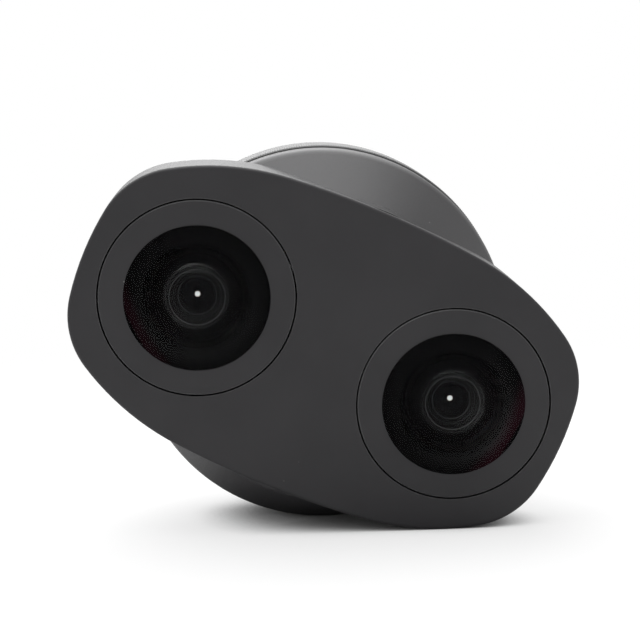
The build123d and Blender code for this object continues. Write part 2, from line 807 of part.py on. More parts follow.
with BuildPart() as optics_carriage:
    rim_inner = carriage_radius - carriage_rim
    carriage = [
        (rim_inner, carriage_rear),
        (carriage_radius, carriage_rear),
        (carriage_radius, web_front),
        (0, web_front),
        (0, web_front - carriage_web),
        (rim_inner, web_front - carriage_web),
    ]
    revolve(section(carriage), axis=along())
    with BuildSketch(forward(web_front)):
        SlotCenterToCenter(rear_baseline, 2 * (rear_flange_radius + window_fit))
        with Locations((0, relief_z), (0, -relief_z)):
            SlotOverall(relief_length, relief_width)
    extrude(amount=-carriage_web, mode=Mode.SUBTRACT)
    with BuildSketch(forward(web_front)):
        with Locations(*[(x, z) for x in (-post_x, post_x) for z in (-post_z, post_z)]):
            Circle(post_radius)
    extrude(amount=post_height)
    with BuildSketch(forward(web_front)):
        with Locations((-lug_x + lug_thickness / 2, 0)):
            Rectangle(lug_thickness, 2 * lug_half_width)
    extrude(amount=balance_depth + balance_head_radius + 0.8 - web_front)
    with BuildSketch(radial(180, balance_depth, lug_x - 2 * lug_thickness)):
        Circle(balance_shank + running_fit)
    extrude(amount=3 * lug_thickness, mode=Mode.SUBTRACT)
    for angle in guide_angles:
        with BuildSketch(radial(angle, guide_pin_depth + 0.2, rim_inner - cut_margin)):
            Circle(guide_pin_radius + running_fit)
            Rectangle(
                guide_pin_depth,
                2 * (guide_pin_radius + running_fit),
                align=(Align.MAX, Align.CENTER),
            )
        extrude(amount=carriage_rim + 2 * cut_margin, mode=Mode.SUBTRACT)
    for angle in follower_angles:
        with BuildSketch(radial(angle, follower_depth, rim_inner - cut_margin)):
            Circle(follower_shank + press_fit)
        extrude(amount=carriage_rim + 2 * cut_margin, mode=Mode.SUBTRACT)

with BuildPart() as cam_followers:
    for angle in follower_angles:
        with BuildSketch(radial(angle, follower_depth, carriage_radius - carriage_rim)):
            Circle(follower_shank)
        extrude(amount=carriage_rim + running_fit)
        with BuildSketch(radial(angle, follower_depth, carriage_radius + running_fit)):
            Circle(follower_radius)
        extrude(amount=sleeve_wall - 0.05)

with BuildPart() as balance_screw:
    with BuildSketch(radial(180, balance_depth, lug_x)):
        Circle(balance_head_radius)
    extrude(amount=balance_head)
    with BuildSketch(radial(180, balance_depth, lug_x)):
        Circle(balance_shank)
    extrude(amount=-lug_thickness - 0.1)
    with BuildSketch(radial(180, balance_depth, lug_x - lug_thickness - 0.1)):
        with Locations((0, balance_throw)):
            Circle(balance_tip_radius)
    extrude(amount=-balance_tip)
    with BuildSketch(radial(180, balance_depth, lug_x + balance_head)):
        RegularPolygon(socket_across / 2, 6, major_radius=False)
    extrude(amount=-socket_depth, mode=Mode.SUBTRACT)

# Right optical unit
front_at = (half_base, 0)
rear_at = (half_rear, 0)
front_curve = (glass_radius**2 + glass_height**2) / (2 * glass_height)
front_apex = face_depth + glass_height

with BuildPart() as right_front_ring:
    ring = [
        (glass_radius, face_depth),
        (ring_outer_radius - ring_bevel, face_depth),
        (ring_outer_radius, face_depth - ring_bevel),
        (ring_outer_radius, cup_front),
        (front_edge_radius + 0.1, cup_front),
        (front_edge_radius + 0.1, dome(front_apex, front_curve, front_edge_radius) + 0.1),
    ]
    revolve(section(ring, at=front_at), axis=along(front_at))
    with Locations((half_base, front_curve - front_apex, 0)):
        Sphere(front_curve + 0.03, mode=Mode.SUBTRACT)

with BuildPart() as right_front_lens:
    back_centre = front_apex - front_centre_thickness - front_back_radius
    back_edge = sqrt(front_back_radius**2 - (cup_front - back_centre) ** 2)
    with BuildSketch(half_plane(front_at)):
        with BuildLine():
            outside = ThreePointArc(
                (0, front_apex),
                (front_edge_radius / 2, dome(front_apex, front_curve, front_edge_radius / 2)),
                (front_edge_radius, dome(front_apex, front_curve, front_edge_radius)),
            )
            Polyline(outside @ 1, (front_edge_radius, cup_front), (back_edge, cup_front))
            inside = ThreePointArc(
                (back_edge, cup_front),
                (back_edge / 2, dome(front_apex - front_centre_thickness, front_back_radius, back_edge / 2)),
                (0, front_apex - front_centre_thickness),
            )
            Line(inside @ 1, outside @ 0)
        make_face()
    revolve(axis=along(front_at))

with BuildPart() as right_inner_glasses:
    second_front = (second_seat + second_edge, second_bulge)
    third_front = (third_seat + third_edge, -third_front_hollow)
    second = lens_section(front_at, second_radius - pocket_fit, second_front, (second_seat, second_hollow))
    third = lens_section(front_at, third_radius - pocket_fit, third_front, (third_seat, third_rear_hollow))
    revolve(second, axis=along(front_at))
    revolve(third, axis=along(front_at))
    with BuildSketch(across(relay_x)):
        Circle(relay_radius)
    extrude(amount=relay_thickness)

# The chassis is drawn from above, with the iris bay open to the front between the two prisms.
outer_tip = half_base + front_prism / 2 + tip_wall
inner_tip = half_rear - rear_prism / 2 - tip_wall
front_slant = fold_depth - half_base - prism_wall * sqrt(2)
rear_slant = fold_depth - half_rear + prism_wall * sqrt(2)
folds = ((half_base, front_prism), (half_rear, -rear_prism))
post_places = [(x, z) for x in (-post_x, post_x) for z in (-post_z, post_z)]

with BuildPart() as right_chassis:
    with BuildSketch(from_above(chassis_half_height)):
        with BuildLine():
            Polyline(
                (inner_tip, chassis_rear),
                (chassis_outer, chassis_rear),
                (chassis_outer, chassis_outer + front_slant),
                (outer_tip, outer_tip + front_slant),
                (outer_tip, cup_floor),
                (iris_outer_x, cup_floor),
                (iris_outer_x, floor_front),
                (bay_inner, floor_front),
                (bay_inner, cup_floor),
                (cup_floor - rear_slant, cup_floor),
                (inner_tip, inner_tip + rear_slant),
                close=True,
            )
        make_face()
    extrude(amount=2 * chassis_half_height)
    cup = [
        (0, cup_floor),
        (cup_neck_radius, cup_floor),
        (cup_neck_radius, cup_front - cup_flange),
        (cup_radius, cup_front - cup_flange),
        (cup_radius, cup_front),
        (second_radius, cup_front),
        (second_radius, second_seat),
        (third_radius, second_seat),
        (third_radius, third_seat),
        (0, third_seat),
    ]
    revolve(section(cup, at=front_at), axis=along(front_at))
    for x, leg in folds:
        with BuildSketch(from_above(chassis_half_height)):
            with BuildLine():
                Polyline(*prism_outline(x, leg), close=True)
            make_face()
        extrude(amount=chassis_half_height + abs(leg) / 2 + pocket_fit, mode=Mode.SUBTRACT)
    with BuildSketch(forward(third_seat)):
        with Locations(front_at):
            Circle(light_radius)
    extrude(amount=fold_depth + front_prism / 2 - third_seat, mode=Mode.SUBTRACT)
    with BuildSketch(across(half_base - front_prism / 2)):
        Circle(relay_radius + pocket_fit)
    extrude(amount=half_base - front_prism / 2 - half_rear - rear_prism / 2, mode=Mode.SUBTRACT)
    with BuildSketch(forward(chassis_rear)):
        with Locations(rear_at):
            Circle(light_radius)
    extrude(amount=fold_depth - rear_prism / 2 - chassis_rear, mode=Mode.SUBTRACT)
    with BuildSketch(forward(chassis_rear)):
        with Locations(*post_places):
            Circle(post_radius + running_fit)
    extrude(amount=post_height, mode=Mode.SUBTRACT)

with BuildPart() as right_prisms:
    for x, leg in folds:
        with BuildSketch(from_above(abs(leg) / 2)):
            with BuildLine():
                Polyline(*prism_outline(x, leg, pocket_fit), close=True)
            make_face()
        extrude(amount=abs(leg))

with BuildPart() as right_rear_cell:
    bores = [(radius + pocket_fit, rear) for radius, rear, thickness, front_bulge, rear_bulge in rear_glasses]
    last_seat = rear_glasses[2][1] + rear_glasses[2][2]
    cell = [
        (bores[0][0], chassis_rear),
        (rear_flange_radius, chassis_rear),
        (rear_flange_radius, chassis_rear - rear_flange_thickness),
        (rear_cell_radius, chassis_rear - rear_flange_thickness),
        (rear_cell_radius, rear_cell_rear),
        (bores[2][0], rear_cell_rear),
        (bores[2][0], last_seat),
        (light_radius, last_seat),
        (light_radius, bores[1][1]),
        (bores[1][0], bores[1][1]),
        (bores[1][0], bores[0][1]),
        (bores[0][0], bores[0][1]),
    ]
    revolve(section(cell, at=rear_at), axis=along(rear_at))

with BuildPart() as right_rear_glasses:
    for radius, rear, thickness, front_bulge, rear_bulge in rear_glasses:
        front_surface = (rear + thickness - max(front_bulge, 0), front_bulge)
        rear_surface = (rear + max(-rear_bulge, 0), rear_bulge)
        revolve(lens_section(rear_at, radius, front_surface, rear_surface), axis=along(rear_at))

# Iris. Its plane looks inwards along the folded leg, and angles in it start at the forward direction.
base_inner = iris_outer_x - iris_base_thickness
ring_outer_x = base_inner - blade_gap - blade_step * blade_count
ring_inner_x = ring_outer_x - iris_ring_thickness
cover_outer_x = ring_inner_x - blade_gap
cover_inner_x = cover_outer_x - iris_cover_thickness
pinion_radius = gear_module * pinion_teeth / 2
pinion_centre = sector_pitch_radius + pinion_radius
sector_step = 180 * gear_module / sector_pitch_radius
sector_teeth = ceil(iris_turn / sector_step) + 1
sector_first = 90 + sector_step / 2
sector_last = sector_first - sector_step * (sector_teeth - 1)
tooth_addendum = 0.8 * gear_module
tooth_dedendum = 1.05 * gear_module
sector_tooth = (0.433 * gear_module, 1.043 * gear_module)   # half widths at the tip and the root
pinion_tooth = (0.508 * gear_module, 0.815 * gear_module)


def tooth(pitch_radius, angle, half_widths, centre=(0, 0)):
    """The corners of one gear tooth, rooted a little inside its root circle."""
    root = pitch_radius - tooth_dedendum
    tip = pitch_radius + tooth_addendum
    tip_half, root_half = half_widths
    side = [(root - 0.1, root_half), (root, root_half), (tip, tip_half)]
    corners = side + [(radius, -half) for radius, half in reversed(side)]
    out = Vector(*polar(1, angle))
    over = Vector(*polar(1, angle + 90))
    return [Vector(*centre) + out * radius + over * half for radius, half in corners]


def drive_place(angle, share):
    """Where a blade's drive pin stands in the drive ring after a share of the closing turn."""
    pivot = Vector(*polar(pivot_radius, angle))
    arm = Vector(*polar(pivot_radius, angle - tail_angle)) - pivot
    return (pivot + arm.rotate(Axis.Z, blade_turn * share)).rotate(Axis.Z, -iris_turn * share)


with BuildPart() as right_iris_base:
    with BuildSketch(across(iris_outer_x)):
        Circle(iris_radius)
        Circle(stop_radius, mode=Mode.SUBTRACT)
    extrude(amount=iris_base_thickness)
    with BuildSketch(across(base_inner)):
        Circle(iris_radius)
        Circle(iris_ring_outer + iris_ring_fit, mode=Mode.SUBTRACT)
        with BuildLine():
            Polyline((0, 0), *[polar(2 * iris_radius, angle) for angle in iris_window], close=True)
        make_face(mode=Mode.SUBTRACT)
    extrude(amount=base_inner - cover_outer_x)
    with BuildSketch(across(base_inner)):
        with PolarLocations(pivot_radius, blade_count):
            Circle(iris_pin_radius + running_fit)
    extrude(amount=-0.8 * iris_base_thickness, mode=Mode.SUBTRACT)

blade_angles = [360 / blade_count * k for k in range(blade_count)]
blades = []
for k, angle in enumerate(blade_angles):
    layer = base_inner - blade_gap - blade_step * k
    tail = CenterArc((0, 0), pivot_radius, angle - tail_angle, tail_angle)
    with BuildPart() as blade:
        with BuildSketch(across(layer)):
            for inner, outer, sweep in (
                (blade_inner_radius, blade_outer_radius, blade_sweep),
                (blade_outer_radius - blade_margin / 2, pivot_radius + blade_margin, blade_neck),
            ):
                with BuildLine():
                    start = angle - blade_lead
                    stop = angle + sweep
                    CenterArc((0, 0), inner, start, stop - start)
                    CenterArc((0, 0), outer, start, stop - start)
                    Line(polar(inner, start), polar(outer, start))
                    Line(polar(inner, stop), polar(outer, stop))
                make_face()
            SlotArc(tail, tail_width)
        extrude(amount=blade_thickness)
        with BuildSketch(across(layer)):
            with Locations(polar(pivot_radius, angle)):
                Circle(iris_pin_radius)
        extrude(amount=layer - base_inner - 0.7 * iris_base_thickness)
        with BuildSketch(across(layer - blade_thickness)):
            with Locations(polar(pivot_radius, angle - tail_angle)):
                Circle(iris_pin_radius)
        extrude(amount=layer - blade_thickness - ring_inner_x - drive_pin_end)
    blades.append(blade)

ring_slots = [ThreePointArc(*[drive_place(angle, share) for share in (0, 0.5, 1)]) for angle in blade_angles]
with BuildPart() as right_iris_ring:
    sector_root = sector_pitch_radius - tooth_dedendum
    start = sector_last - sector_step / 2
    stop = sector_first + sector_step / 2
    with BuildSketch(across(ring_outer_x)):
        Circle(iris_ring_outer)
        with BuildLine():
            Line((0, 0), polar(sector_root, start))
            CenterArc((0, 0), sector_root, start, stop - start)
            Line(polar(sector_root, stop), (0, 0))
        make_face()
        for number in range(sector_teeth):
            corners = tooth(sector_pitch_radius, sector_first - sector_step * number, sector_tooth)
            with BuildLine():
                Polyline(*corners, close=True)
            make_face()
        Circle(iris_ring_inner, mode=Mode.SUBTRACT)
        for slot in ring_slots:
            SlotArc(slot, 2 * (iris_pin_radius + running_fit), mode=Mode.SUBTRACT)
    extrude(amount=iris_ring_thickness)

with BuildPart() as right_iris_cover:
    with BuildSketch(across(cover_outer_x)):
        Circle(iris_radius)
        Rectangle(2 * tab_half_width, pinion_centre, align=(Align.CENTER, Align.MIN))
        with Locations((0, pinion_centre)):
            Circle(tab_half_width)
            Circle(shaft_radius + 0.1, mode=Mode.SUBTRACT)
        Circle(iris_cover_hole, mode=Mode.SUBTRACT)
    extrude(amount=iris_cover_thickness)

with BuildPart() as right_iris_pinion:
    with BuildSketch(across(ring_outer_x)):
        with Locations((0, pinion_centre)):
            Circle(pinion_radius - tooth_dedendum)
        for number in range(pinion_teeth):
            angle = 270 + 360 / pinion_teeth * number
            corners = tooth(pinion_radius, angle, pinion_tooth, (0, pinion_centre))
            with BuildLine():
                Polyline(*corners, close=True)
            make_face()
    extrude(amount=iris_ring_thickness)
    with BuildSketch(across(ring_inner_x)):
        with Locations((0, pinion_centre)):
            Circle(shaft_radius)
    extrude(amount=shaft_length)

with BuildPart() as right_iris_motor:
    with BuildSketch(across(cover_inner_x)):
        with Locations((0, pinion_centre)):
            Circle(motor_radius)
    extrude(amount=motor_length)
    fillet(right_iris_motor.edges().sort_by(Axis.X)[0], radius=0.5)
    with BuildSketch(across(cover_inner_x)):
        with Locations((0, pinion_centre)):
            Circle(shaft_radius + running_fit)
    extrude(amount=shaft_length, mode=Mode.SUBTRACT)

# The left unit mirrors the right one, and its chassis is slotted for the balance screw.
with BuildPart() as left_chassis:
    mirror(right_chassis.part, about=Plane.YZ)
    with BuildSketch(radial(180, balance_depth, chassis_outer)):
        Rectangle(2 * (balance_tip_radius + press_fit), 2 * balance_slot_half)
    extrude(amount=-balance_tip - 0.5, mode=Mode.SUBTRACT)

nodes = {
    "faceplate": faceplate,
    "faceplate_screws": faceplate_screws,
    "front_housing": front_housing,
    "main_tube": main_tube,
    "rear_barrel": rear_barrel,
    "housing_screws": housing_screws,
    "bayonet_mount": bayonet_mount,
    "mount_screws": mount_screws,
    "index_bead": index_bead,
    "mount_seal": mount_seal,
    "rear_baffle": rear_baffle,
    "contact_block": contact_block,
    "contact_pins": contact_pins,
    "circuit_board": circuit_board,
    "guide_pins": guide_pins,
    "filter_holders": filter_holders,
    "focus_ring": focus_ring,
    "drive_pins": drive_pins,
    "focus_sleeve": focus_sleeve,
    "optics_carriage": optics_carriage,
    "cam_followers": cam_followers,
    "balance_screw": balance_screw,
    "right_front_ring": right_front_ring,
    "right_front_lens": right_front_lens,
    "right_inner_glasses": right_inner_glasses,
    "right_prisms": right_prisms,
    "right_rear_cell": right_rear_cell,
    "right_rear_glasses": right_rear_glasses,
    "right_iris_base": right_iris_base,
    "right_iris_cover": right_iris_cover,
    "right_iris_ring": right_iris_ring,
    "right_iris_pinion": right_iris_pinion,
    "right_iris_motor": right_iris_motor,
}
for number, blade in enumerate(blades, start=1):
    nodes[f"right_blade_{number}"] = blade
for name in [name for name in nodes if name.startswith("right_")]:
    with BuildPart() as left_piece:
        mirror(nodes[name].part, about=Plane.YZ)
    nodes[name.replace("right_", "left_")] = left_piece
nodes["right_chassis"] = right_chassis
nodes["left_chassis"] = left_chassis

os.makedirs("parts", exist_ok=True)
for name, node in nodes.items():
    node.part.label = name
    export_step(node.part, f"parts/{name}.step")
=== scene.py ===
import json
import math
import bmesh
import bpy
from mathutils import Matrix, Vector


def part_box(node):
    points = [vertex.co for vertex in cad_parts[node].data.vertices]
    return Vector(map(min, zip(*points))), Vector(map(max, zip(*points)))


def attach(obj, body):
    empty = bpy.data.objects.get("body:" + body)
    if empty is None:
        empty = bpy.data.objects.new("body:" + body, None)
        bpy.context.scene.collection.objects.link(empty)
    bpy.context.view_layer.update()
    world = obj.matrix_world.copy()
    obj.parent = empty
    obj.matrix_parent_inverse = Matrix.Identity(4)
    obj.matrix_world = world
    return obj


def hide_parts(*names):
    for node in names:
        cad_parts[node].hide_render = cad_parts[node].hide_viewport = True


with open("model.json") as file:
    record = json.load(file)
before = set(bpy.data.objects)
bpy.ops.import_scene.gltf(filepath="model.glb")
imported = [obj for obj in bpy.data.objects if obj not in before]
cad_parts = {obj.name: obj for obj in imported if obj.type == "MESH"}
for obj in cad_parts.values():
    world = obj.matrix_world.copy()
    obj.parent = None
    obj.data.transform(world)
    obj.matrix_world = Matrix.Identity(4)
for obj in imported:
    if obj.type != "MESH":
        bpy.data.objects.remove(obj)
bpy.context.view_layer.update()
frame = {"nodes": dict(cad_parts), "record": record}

# A dual fisheye lens: satin black shell, two coated front glasses, a finely ribbed focus ring and a chromed mount.
# Sizes are in metres. Forward is -Y, so a depth is a distance in front of the mount flange.
mm = 0.001
baseline = 60 * mm
face_depth = 48 * mm
glass_radius = 15.6 * mm
glass_apex = 53.5 * mm
glass_curve = 24.874 * mm
glass_back_apex = 52.0 * mm
glass_back_curve = 12.5 * mm
glass_seat = 45.6 * mm
glass_edge_radius = 16.9 * mm
glass_rear = glass_seat + 0.03 * mm                      # the lacquered rim, a hair clear of its seat
glass_index = 1.6
second_glass_radius = 9.95 * mm
second_glass_front = (43.6 * mm, 3.6 * mm)               # depth of its edge, and how far it bulges forward
second_glass_back = (42.0 * mm, 3.4 * mm)
third_glass_radius = 5.95 * mm
third_glass_front = (41.2 * mm, -0.5 * mm)
third_glass_back = (39.2 * mm, 0.6 * mm)
relay_radius = 3.5 * mm
relay_span = (19.75 * mm, 22.25 * mm)
fold_depth = 31.5 * mm
mount_screw_circle = 28.45 * mm
front_ring_radius = 20.9 * mm
front_ring_bevel = 0.2 * mm
front_ring_lap = 0.1 * mm                                # from the glass's edge to the ring's inner wall
front_ring_clearance = 0.03 * mm                         # between the dome and the ring's underside
# The painted glow, a self-lit disc that stands for the light through the lens
painted_glow_radius = 0.80 * mm
painted_glow_depth = 38.0 * mm                             # in the light bore, ahead of the first prism
sides = {"left": (-baseline / 2, "left_unit"), "right": (baseline / 2, "carriage")}

# Looks that several places share
satin_black = ((0.0182, 0.0175, 0.0192), (0.0222, 0.0213, 0.0232), (0.40, 0.50))     # two tones and a gloss range
satin_paint = {"grain": 5200.0, "depth": 0.000012, "level": 0.34, "dust": 0.45}
rim_coating = (10.9 * mm, 15.2 * mm)                     # radii between which the dome's coating gains strength
rim_lean = 0.72                                          # how far its normals lean forward beyond them
# The painted red reflection on each glass's lacquered rim, a weak self-lit glow that stands for the coating's
# reflection
painted_red_glints = {"left": (230.0, 0.70, 0.0042), "right": (-6.0, 0.60, 0.0080)}          # towards, begins, strength

# Camera and stage
camera_place = Vector((-0.04430, -0.37468, 0.05275))
camera_aim = Vector((-0.00411, -0.04800, 0.00586))
camera_roll = 23.53
camera_lens = 87.72
floor_radius = 0.45
floor_fade = (0.10, 0.34)                                # distances between which the floor fades out
floor_sink = 0.05 * mm                                   # how far it lies below the part
floor_tone = 0.92
floor_glow = 0.62
contact_shadow = (14 * mm, 0.06, 0.64)                   # reach, and the openness at which the glow begins and is full
mirrored_shadow = (80 * mm, 0.35, 0.85)                  # the same, for the floor as gloss and glass show it
room_level = 0.55                                        # the world's light on matt surfaces
lamp_aim = Vector((0.0, -30.0, 0.0)) * mm
ground_point = Vector((17.69, -23.0, -38.65)) * mm       # where the focus ring stands
ground_normal = Vector((-0.42, 0.084, 0.925)).normalized()           # of the plane that ring, housing and plate touch
stage_back = (camera_aim - camera_place).cross(ground_normal).cross(-ground_normal).normalized()
stage_right = stage_back.cross(ground_normal)
# Each softbox: its place to the right, above and behind, its width and height in metres, and its watts
softboxes = {
    "overhead_softbox": ((-0.04, 0.62, -0.10), (0.80, 0.80), 2.7),
    "rear_softbox": ((-0.14, 0.48, 0.28), (0.95, 0.75), 4.0),
}


def add_camera():
    """The camera at the photograph's viewing angle."""
    data = bpy.data.cameras.new("photo_camera")
    data.lens = camera_lens
    data.clip_start = 0.01
    camera = bpy.data.objects.new("photo_camera", data)
    turn = (camera_aim - camera_place).to_track_quat("-Z", "Y").to_matrix()
    roll = Matrix.Rotation(math.radians(camera_roll), 3, "Z")
    camera.matrix_world = Matrix.Translation(camera_place) @ (turn @ roll).to_4x4()
    bpy.context.scene.collection.objects.link(camera)
    bpy.context.scene.camera = camera


# Node helpers
def link(tree, start, end):
    tree.links.new(start, end)


def math_node(tree, operation, first, second=None, third=None, clamp=False):
    node = tree.nodes.new("ShaderNodeMath")
    node.operation = operation
    node.use_clamp = clamp
    for socket, value in zip(node.inputs, (first, second, third)):
        if value is None:
            continue
        if isinstance(value, (int, float)):
            socket.default_value = value
        else:
            link(tree, value, socket)
    return node.outputs[0]


def ramp(tree, value, low, high, to_low=0.0, to_high=1.0):
    node = tree.nodes.new("ShaderNodeMapRange")
    node.interpolation_type = "SMOOTHSTEP"
    for name, number in (("From Min", low), ("From Max", high), ("To Min", to_low), ("To Max", to_high)):
        node.inputs[name].default_value = number
    link(tree, value, node.inputs["Value"])
    return node.outputs["Result"]


def mix_colour(tree, share, first, second):
    node = tree.nodes.new("ShaderNodeMix")
    node.data_type = "RGBA"
    for socket, value in ((node.inputs[0], share), (node.inputs[6], first), (node.inputs[7], second)):
        if isinstance(value, (int, float)):
            socket.default_value = value
        elif isinstance(value, tuple):
            socket.default_value = (*value, 1.0)
        else:
            link(tree, value, socket)
    return node.outputs[2]


def hypotenuse(tree, across, up):
    return math_node(tree, "SQRT", math_node(
        tree, "ADD", math_node(tree, "POWER", across, 2.0), math_node(tree, "POWER", up, 2.0)))


def white_room_ray(tree, path):
    """1 for the rays that show the white room: from the camera, and by gloss and glass."""
    seen = math_node(tree, "MAXIMUM", path.outputs["Is Camera Ray"], path.outputs["Is Glossy Ray"])
    return math_node(tree, "MAXIMUM", seen, path.outputs["Is Transmission Ray"])


def noise(tree, vector, scale, detail=2.0, roughness=0.5):
    node = tree.nodes.new("ShaderNodeTexNoise")
    node.inputs["Detail"].default_value = detail
    node.inputs["Roughness"].default_value = roughness
    link(tree, vector, node.inputs["Vector"])
    if isinstance(scale, (int, float)):
        node.inputs["Scale"].default_value = scale
    else:
        link(tree, scale, node.inputs["Scale"])
    return node.outputs["Fac"]


def new_group(name, inputs, outputs):
    """A shader node group. inputs are (name, kind, default) and outputs are (name, kind)."""
    group = bpy.data.node_groups.new(name, "ShaderNodeTree")
    for label, kind, default in inputs:
        socket = group.interface.new_socket(label, in_out="INPUT", socket_type="NodeSocket" + kind)
        if default is not None:
            socket.default_value = default
    for label, kind in outputs:
        group.interface.new_socket(label, in_out="OUTPUT", socket_type="NodeSocket" + kind)
    return group, group.nodes.new("NodeGroupInput"), group.nodes.new("NodeGroupOutput")


def make_grain_group():
    """Fine sprayed or moulded grain: its height, and slow drifts of tone and gloss."""
    group, given, out = new_group(
        "fine grain",
        [("Vector", "Vector", None), ("Size", "Float", 6000.0), ("Drift Size", "Float", 60.0)],
        [("Height", "Float"), ("Drift", "Float"), ("Speckle", "Float")],
    )
    place = given.outputs["Vector"]
    fine = noise(group, place, given.outputs["Size"], 3.0, 0.6)
    coarse = noise(group, place, math_node(group, "MULTIPLY", given.outputs["Size"], 0.28), 2.0, 0.5)
    height = math_node(group, "MULTIPLY_ADD", coarse, 0.5, fine)
    link(group, height, out.inputs["Height"])
    drift = noise(group, place, given.outputs["Drift Size"], 3.0, 0.55)
    link(group, ramp(group, drift, 0.3, 0.7), out.inputs["Drift"])
    link(group, ramp(group, fine, 0.42, 0.66), out.inputs["Speckle"])
    return group


def make_wear_group():
    """Where an edge is rubbed: the rounded normal against the face's own, broken up by noise."""
    group, given, out = new_group(
        "edge wear",
        [("Vector", "Vector", None), ("Width", "Float", 0.0004), ("Amount", "Float", 0.5)],
        [("Mask", "Float")],
    )
    bevel = group.nodes.new("ShaderNodeBevel")
    bevel.samples = 4
    link(group, given.outputs["Width"], bevel.inputs["Radius"])
    geometry = group.nodes.new("ShaderNodeNewGeometry")
    dot = group.nodes.new("ShaderNodeVectorMath")
    dot.operation = "DOT_PRODUCT"
    link(group, bevel.outputs["Normal"], dot.inputs[0])
    link(group, geometry.outputs["Normal"], dot.inputs[1])
    edge = ramp(group, math_node(group, "SUBTRACT", 1.0, dot.outputs["Value"]), 0.01, 0.16)
    broken = ramp(group, noise(group, given.outputs["Vector"], 420.0, 4.0, 0.65), 0.38, 0.62)
    worn = math_node(group, "MULTIPLY", edge, math_node(group, "MULTIPLY_ADD", broken, 0.7, 0.3))
    link(group, math_node(group, "MULTIPLY", worn, given.outputs["Amount"], clamp=True), out.inputs["Mask"])
    return group


def make_dust_group():
    """Sparse specks of lint and dust."""
    group, given, out = new_group(
        "dust", [("Vector", "Vector", None), ("Amount", "Float", 0.5)], [("Mask", "Float")]
    )
    cells = group.nodes.new("ShaderNodeTexVoronoi")
    cells.inputs["Scale"].default_value = 210.0
    cells.inputs["Randomness"].default_value = 1.0
    link(group, given.outputs["Vector"], cells.inputs["Vector"])
    speck = ramp(group, cells.outputs["Distance"], 0.02, 0.05, 1.0, 0.0)
    here = ramp(group, noise(group, given.outputs["Vector"], 55.0, 1.0), 0.56, 0.66)
    speck = math_node(group, "MULTIPLY", speck, here)
    link(group, math_node(group, "MULTIPLY", speck, given.outputs["Amount"]), out.inputs["Mask"])
    return group


def make_turning_group():
    """Fine rings that a lathe leaves round the forward axis, across and along the part."""
    group, given, out = new_group(
        "turning marks",
        [("Vector", "Vector", None), ("Pitch", "Float", 0.00012)],
        [("Height", "Float"), ("Streak", "Float")],
    )
    split = group.nodes.new("ShaderNodeSeparateXYZ")
    link(group, given.outputs["Vector"], split.inputs[0])
    run = math_node(group, "ADD", hypotenuse(group, split.outputs["X"], split.outputs["Z"]), split.outputs["Y"])
    phase = math_node(group, "DIVIDE", run, given.outputs["Pitch"])
    line = group.nodes.new("ShaderNodeCombineXYZ")
    link(group, phase, line.inputs["X"])
    streak = noise(group, line.outputs["Vector"], 0.7, 3.0, 0.6)
    link(group, streak, out.inputs["Height"])
    link(group, ramp(group, streak, 0.35, 0.65), out.inputs["Streak"])
    return group


grain_group = make_grain_group()
wear_group = make_wear_group()
dust_group = make_dust_group()
turning_group = make_turning_group()


def use_group(tree, group, place, **values):
    node = tree.nodes.new("ShaderNodeGroup")
    node.node_tree = group
    link(tree, place, node.inputs["Vector"])
    for name, value in values.items():
        node.inputs[name.replace("_", " ").title()].default_value = value
    return node


def new_material(name):
    """An empty material with its tree, its shader and its Object coordinates."""
    material = bpy.data.materials.new(name)
    material.use_nodes = True
    tree = material.node_tree
    shader = tree.nodes["Principled BSDF"]
    place = tree.nodes.new("ShaderNodeTexCoord").outputs["Object"]
    return material, tree, shader, place


def add_bump(tree, shader, height, depth):
    bump = tree.nodes.new("ShaderNodeBump")
    bump.inputs["Distance"].default_value = depth
    link(tree, height, bump.inputs["Height"])
    link(tree, bump.outputs["Normal"], shader.inputs["Normal"])


def finish_material(name, low, high, rough, grain=6000.0, depth=0.00001, metal=0.0, level=0.5, wear=None, worn=0.0,
                    wear_width=0.0003, worn_rough=0.35, dust=0.0, turned=0.0, coat=0.0):
    """A painted, anodised, moulded or metal finish. low and high are its two tones, rough its gloss range."""
    material, tree, shader, place = new_material(name)
    shader.inputs["Specular IOR Level"].default_value = level
    shader.inputs["Metallic"].default_value = metal
    shader.inputs["Coat Weight"].default_value = coat
    grained = use_group(tree, grain_group, place, size=grain)
    height = grained.outputs["Height"]
    colour = mix_colour(tree, grained.outputs["Drift"], low, high)
    gloss = ramp(tree, grained.outputs["Speckle"], 0.0, 1.0, rough[0], rough[1])
    if turned:
        marks = use_group(tree, turning_group, place, pitch=turned)
        height = math_node(tree, "MULTIPLY_ADD", marks.outputs["Height"], 1.5, height)
        gloss = math_node(tree, "MULTIPLY_ADD", marks.outputs["Streak"], 0.06, gloss)
    if wear:
        mask = use_group(tree, wear_group, place, width=wear_width, amount=worn).outputs["Mask"]
        colour = mix_colour(tree, mask, colour, wear)
        whole = math_node(tree, "MULTIPLY", gloss, math_node(tree, "SUBTRACT", 1.0, mask))
        gloss = math_node(tree, "ADD", whole, math_node(tree, "MULTIPLY", mask, worn_rough))
    if dust:
        mask = use_group(tree, dust_group, place, amount=dust).outputs["Mask"]
        colour = mix_colour(tree, mask, colour, (0.35, 0.35, 0.34))
    link(tree, colour, shader.inputs["Base Color"])
    link(tree, gloss, shader.inputs["Roughness"])
    add_bump(tree, shader, height, depth)
    return material


def radius_from_glass(tree, place):
    """Distance from the axis of the front glass on the same side."""
    split = tree.nodes.new("ShaderNodeSeparateXYZ")
    link(tree, place, split.inputs[0])
    across = math_node(tree, "SUBTRACT", math_node(tree, "ABSOLUTE", split.outputs["X"]), baseline / 2)
    return hypotenuse(tree, across, split.outputs["Z"])


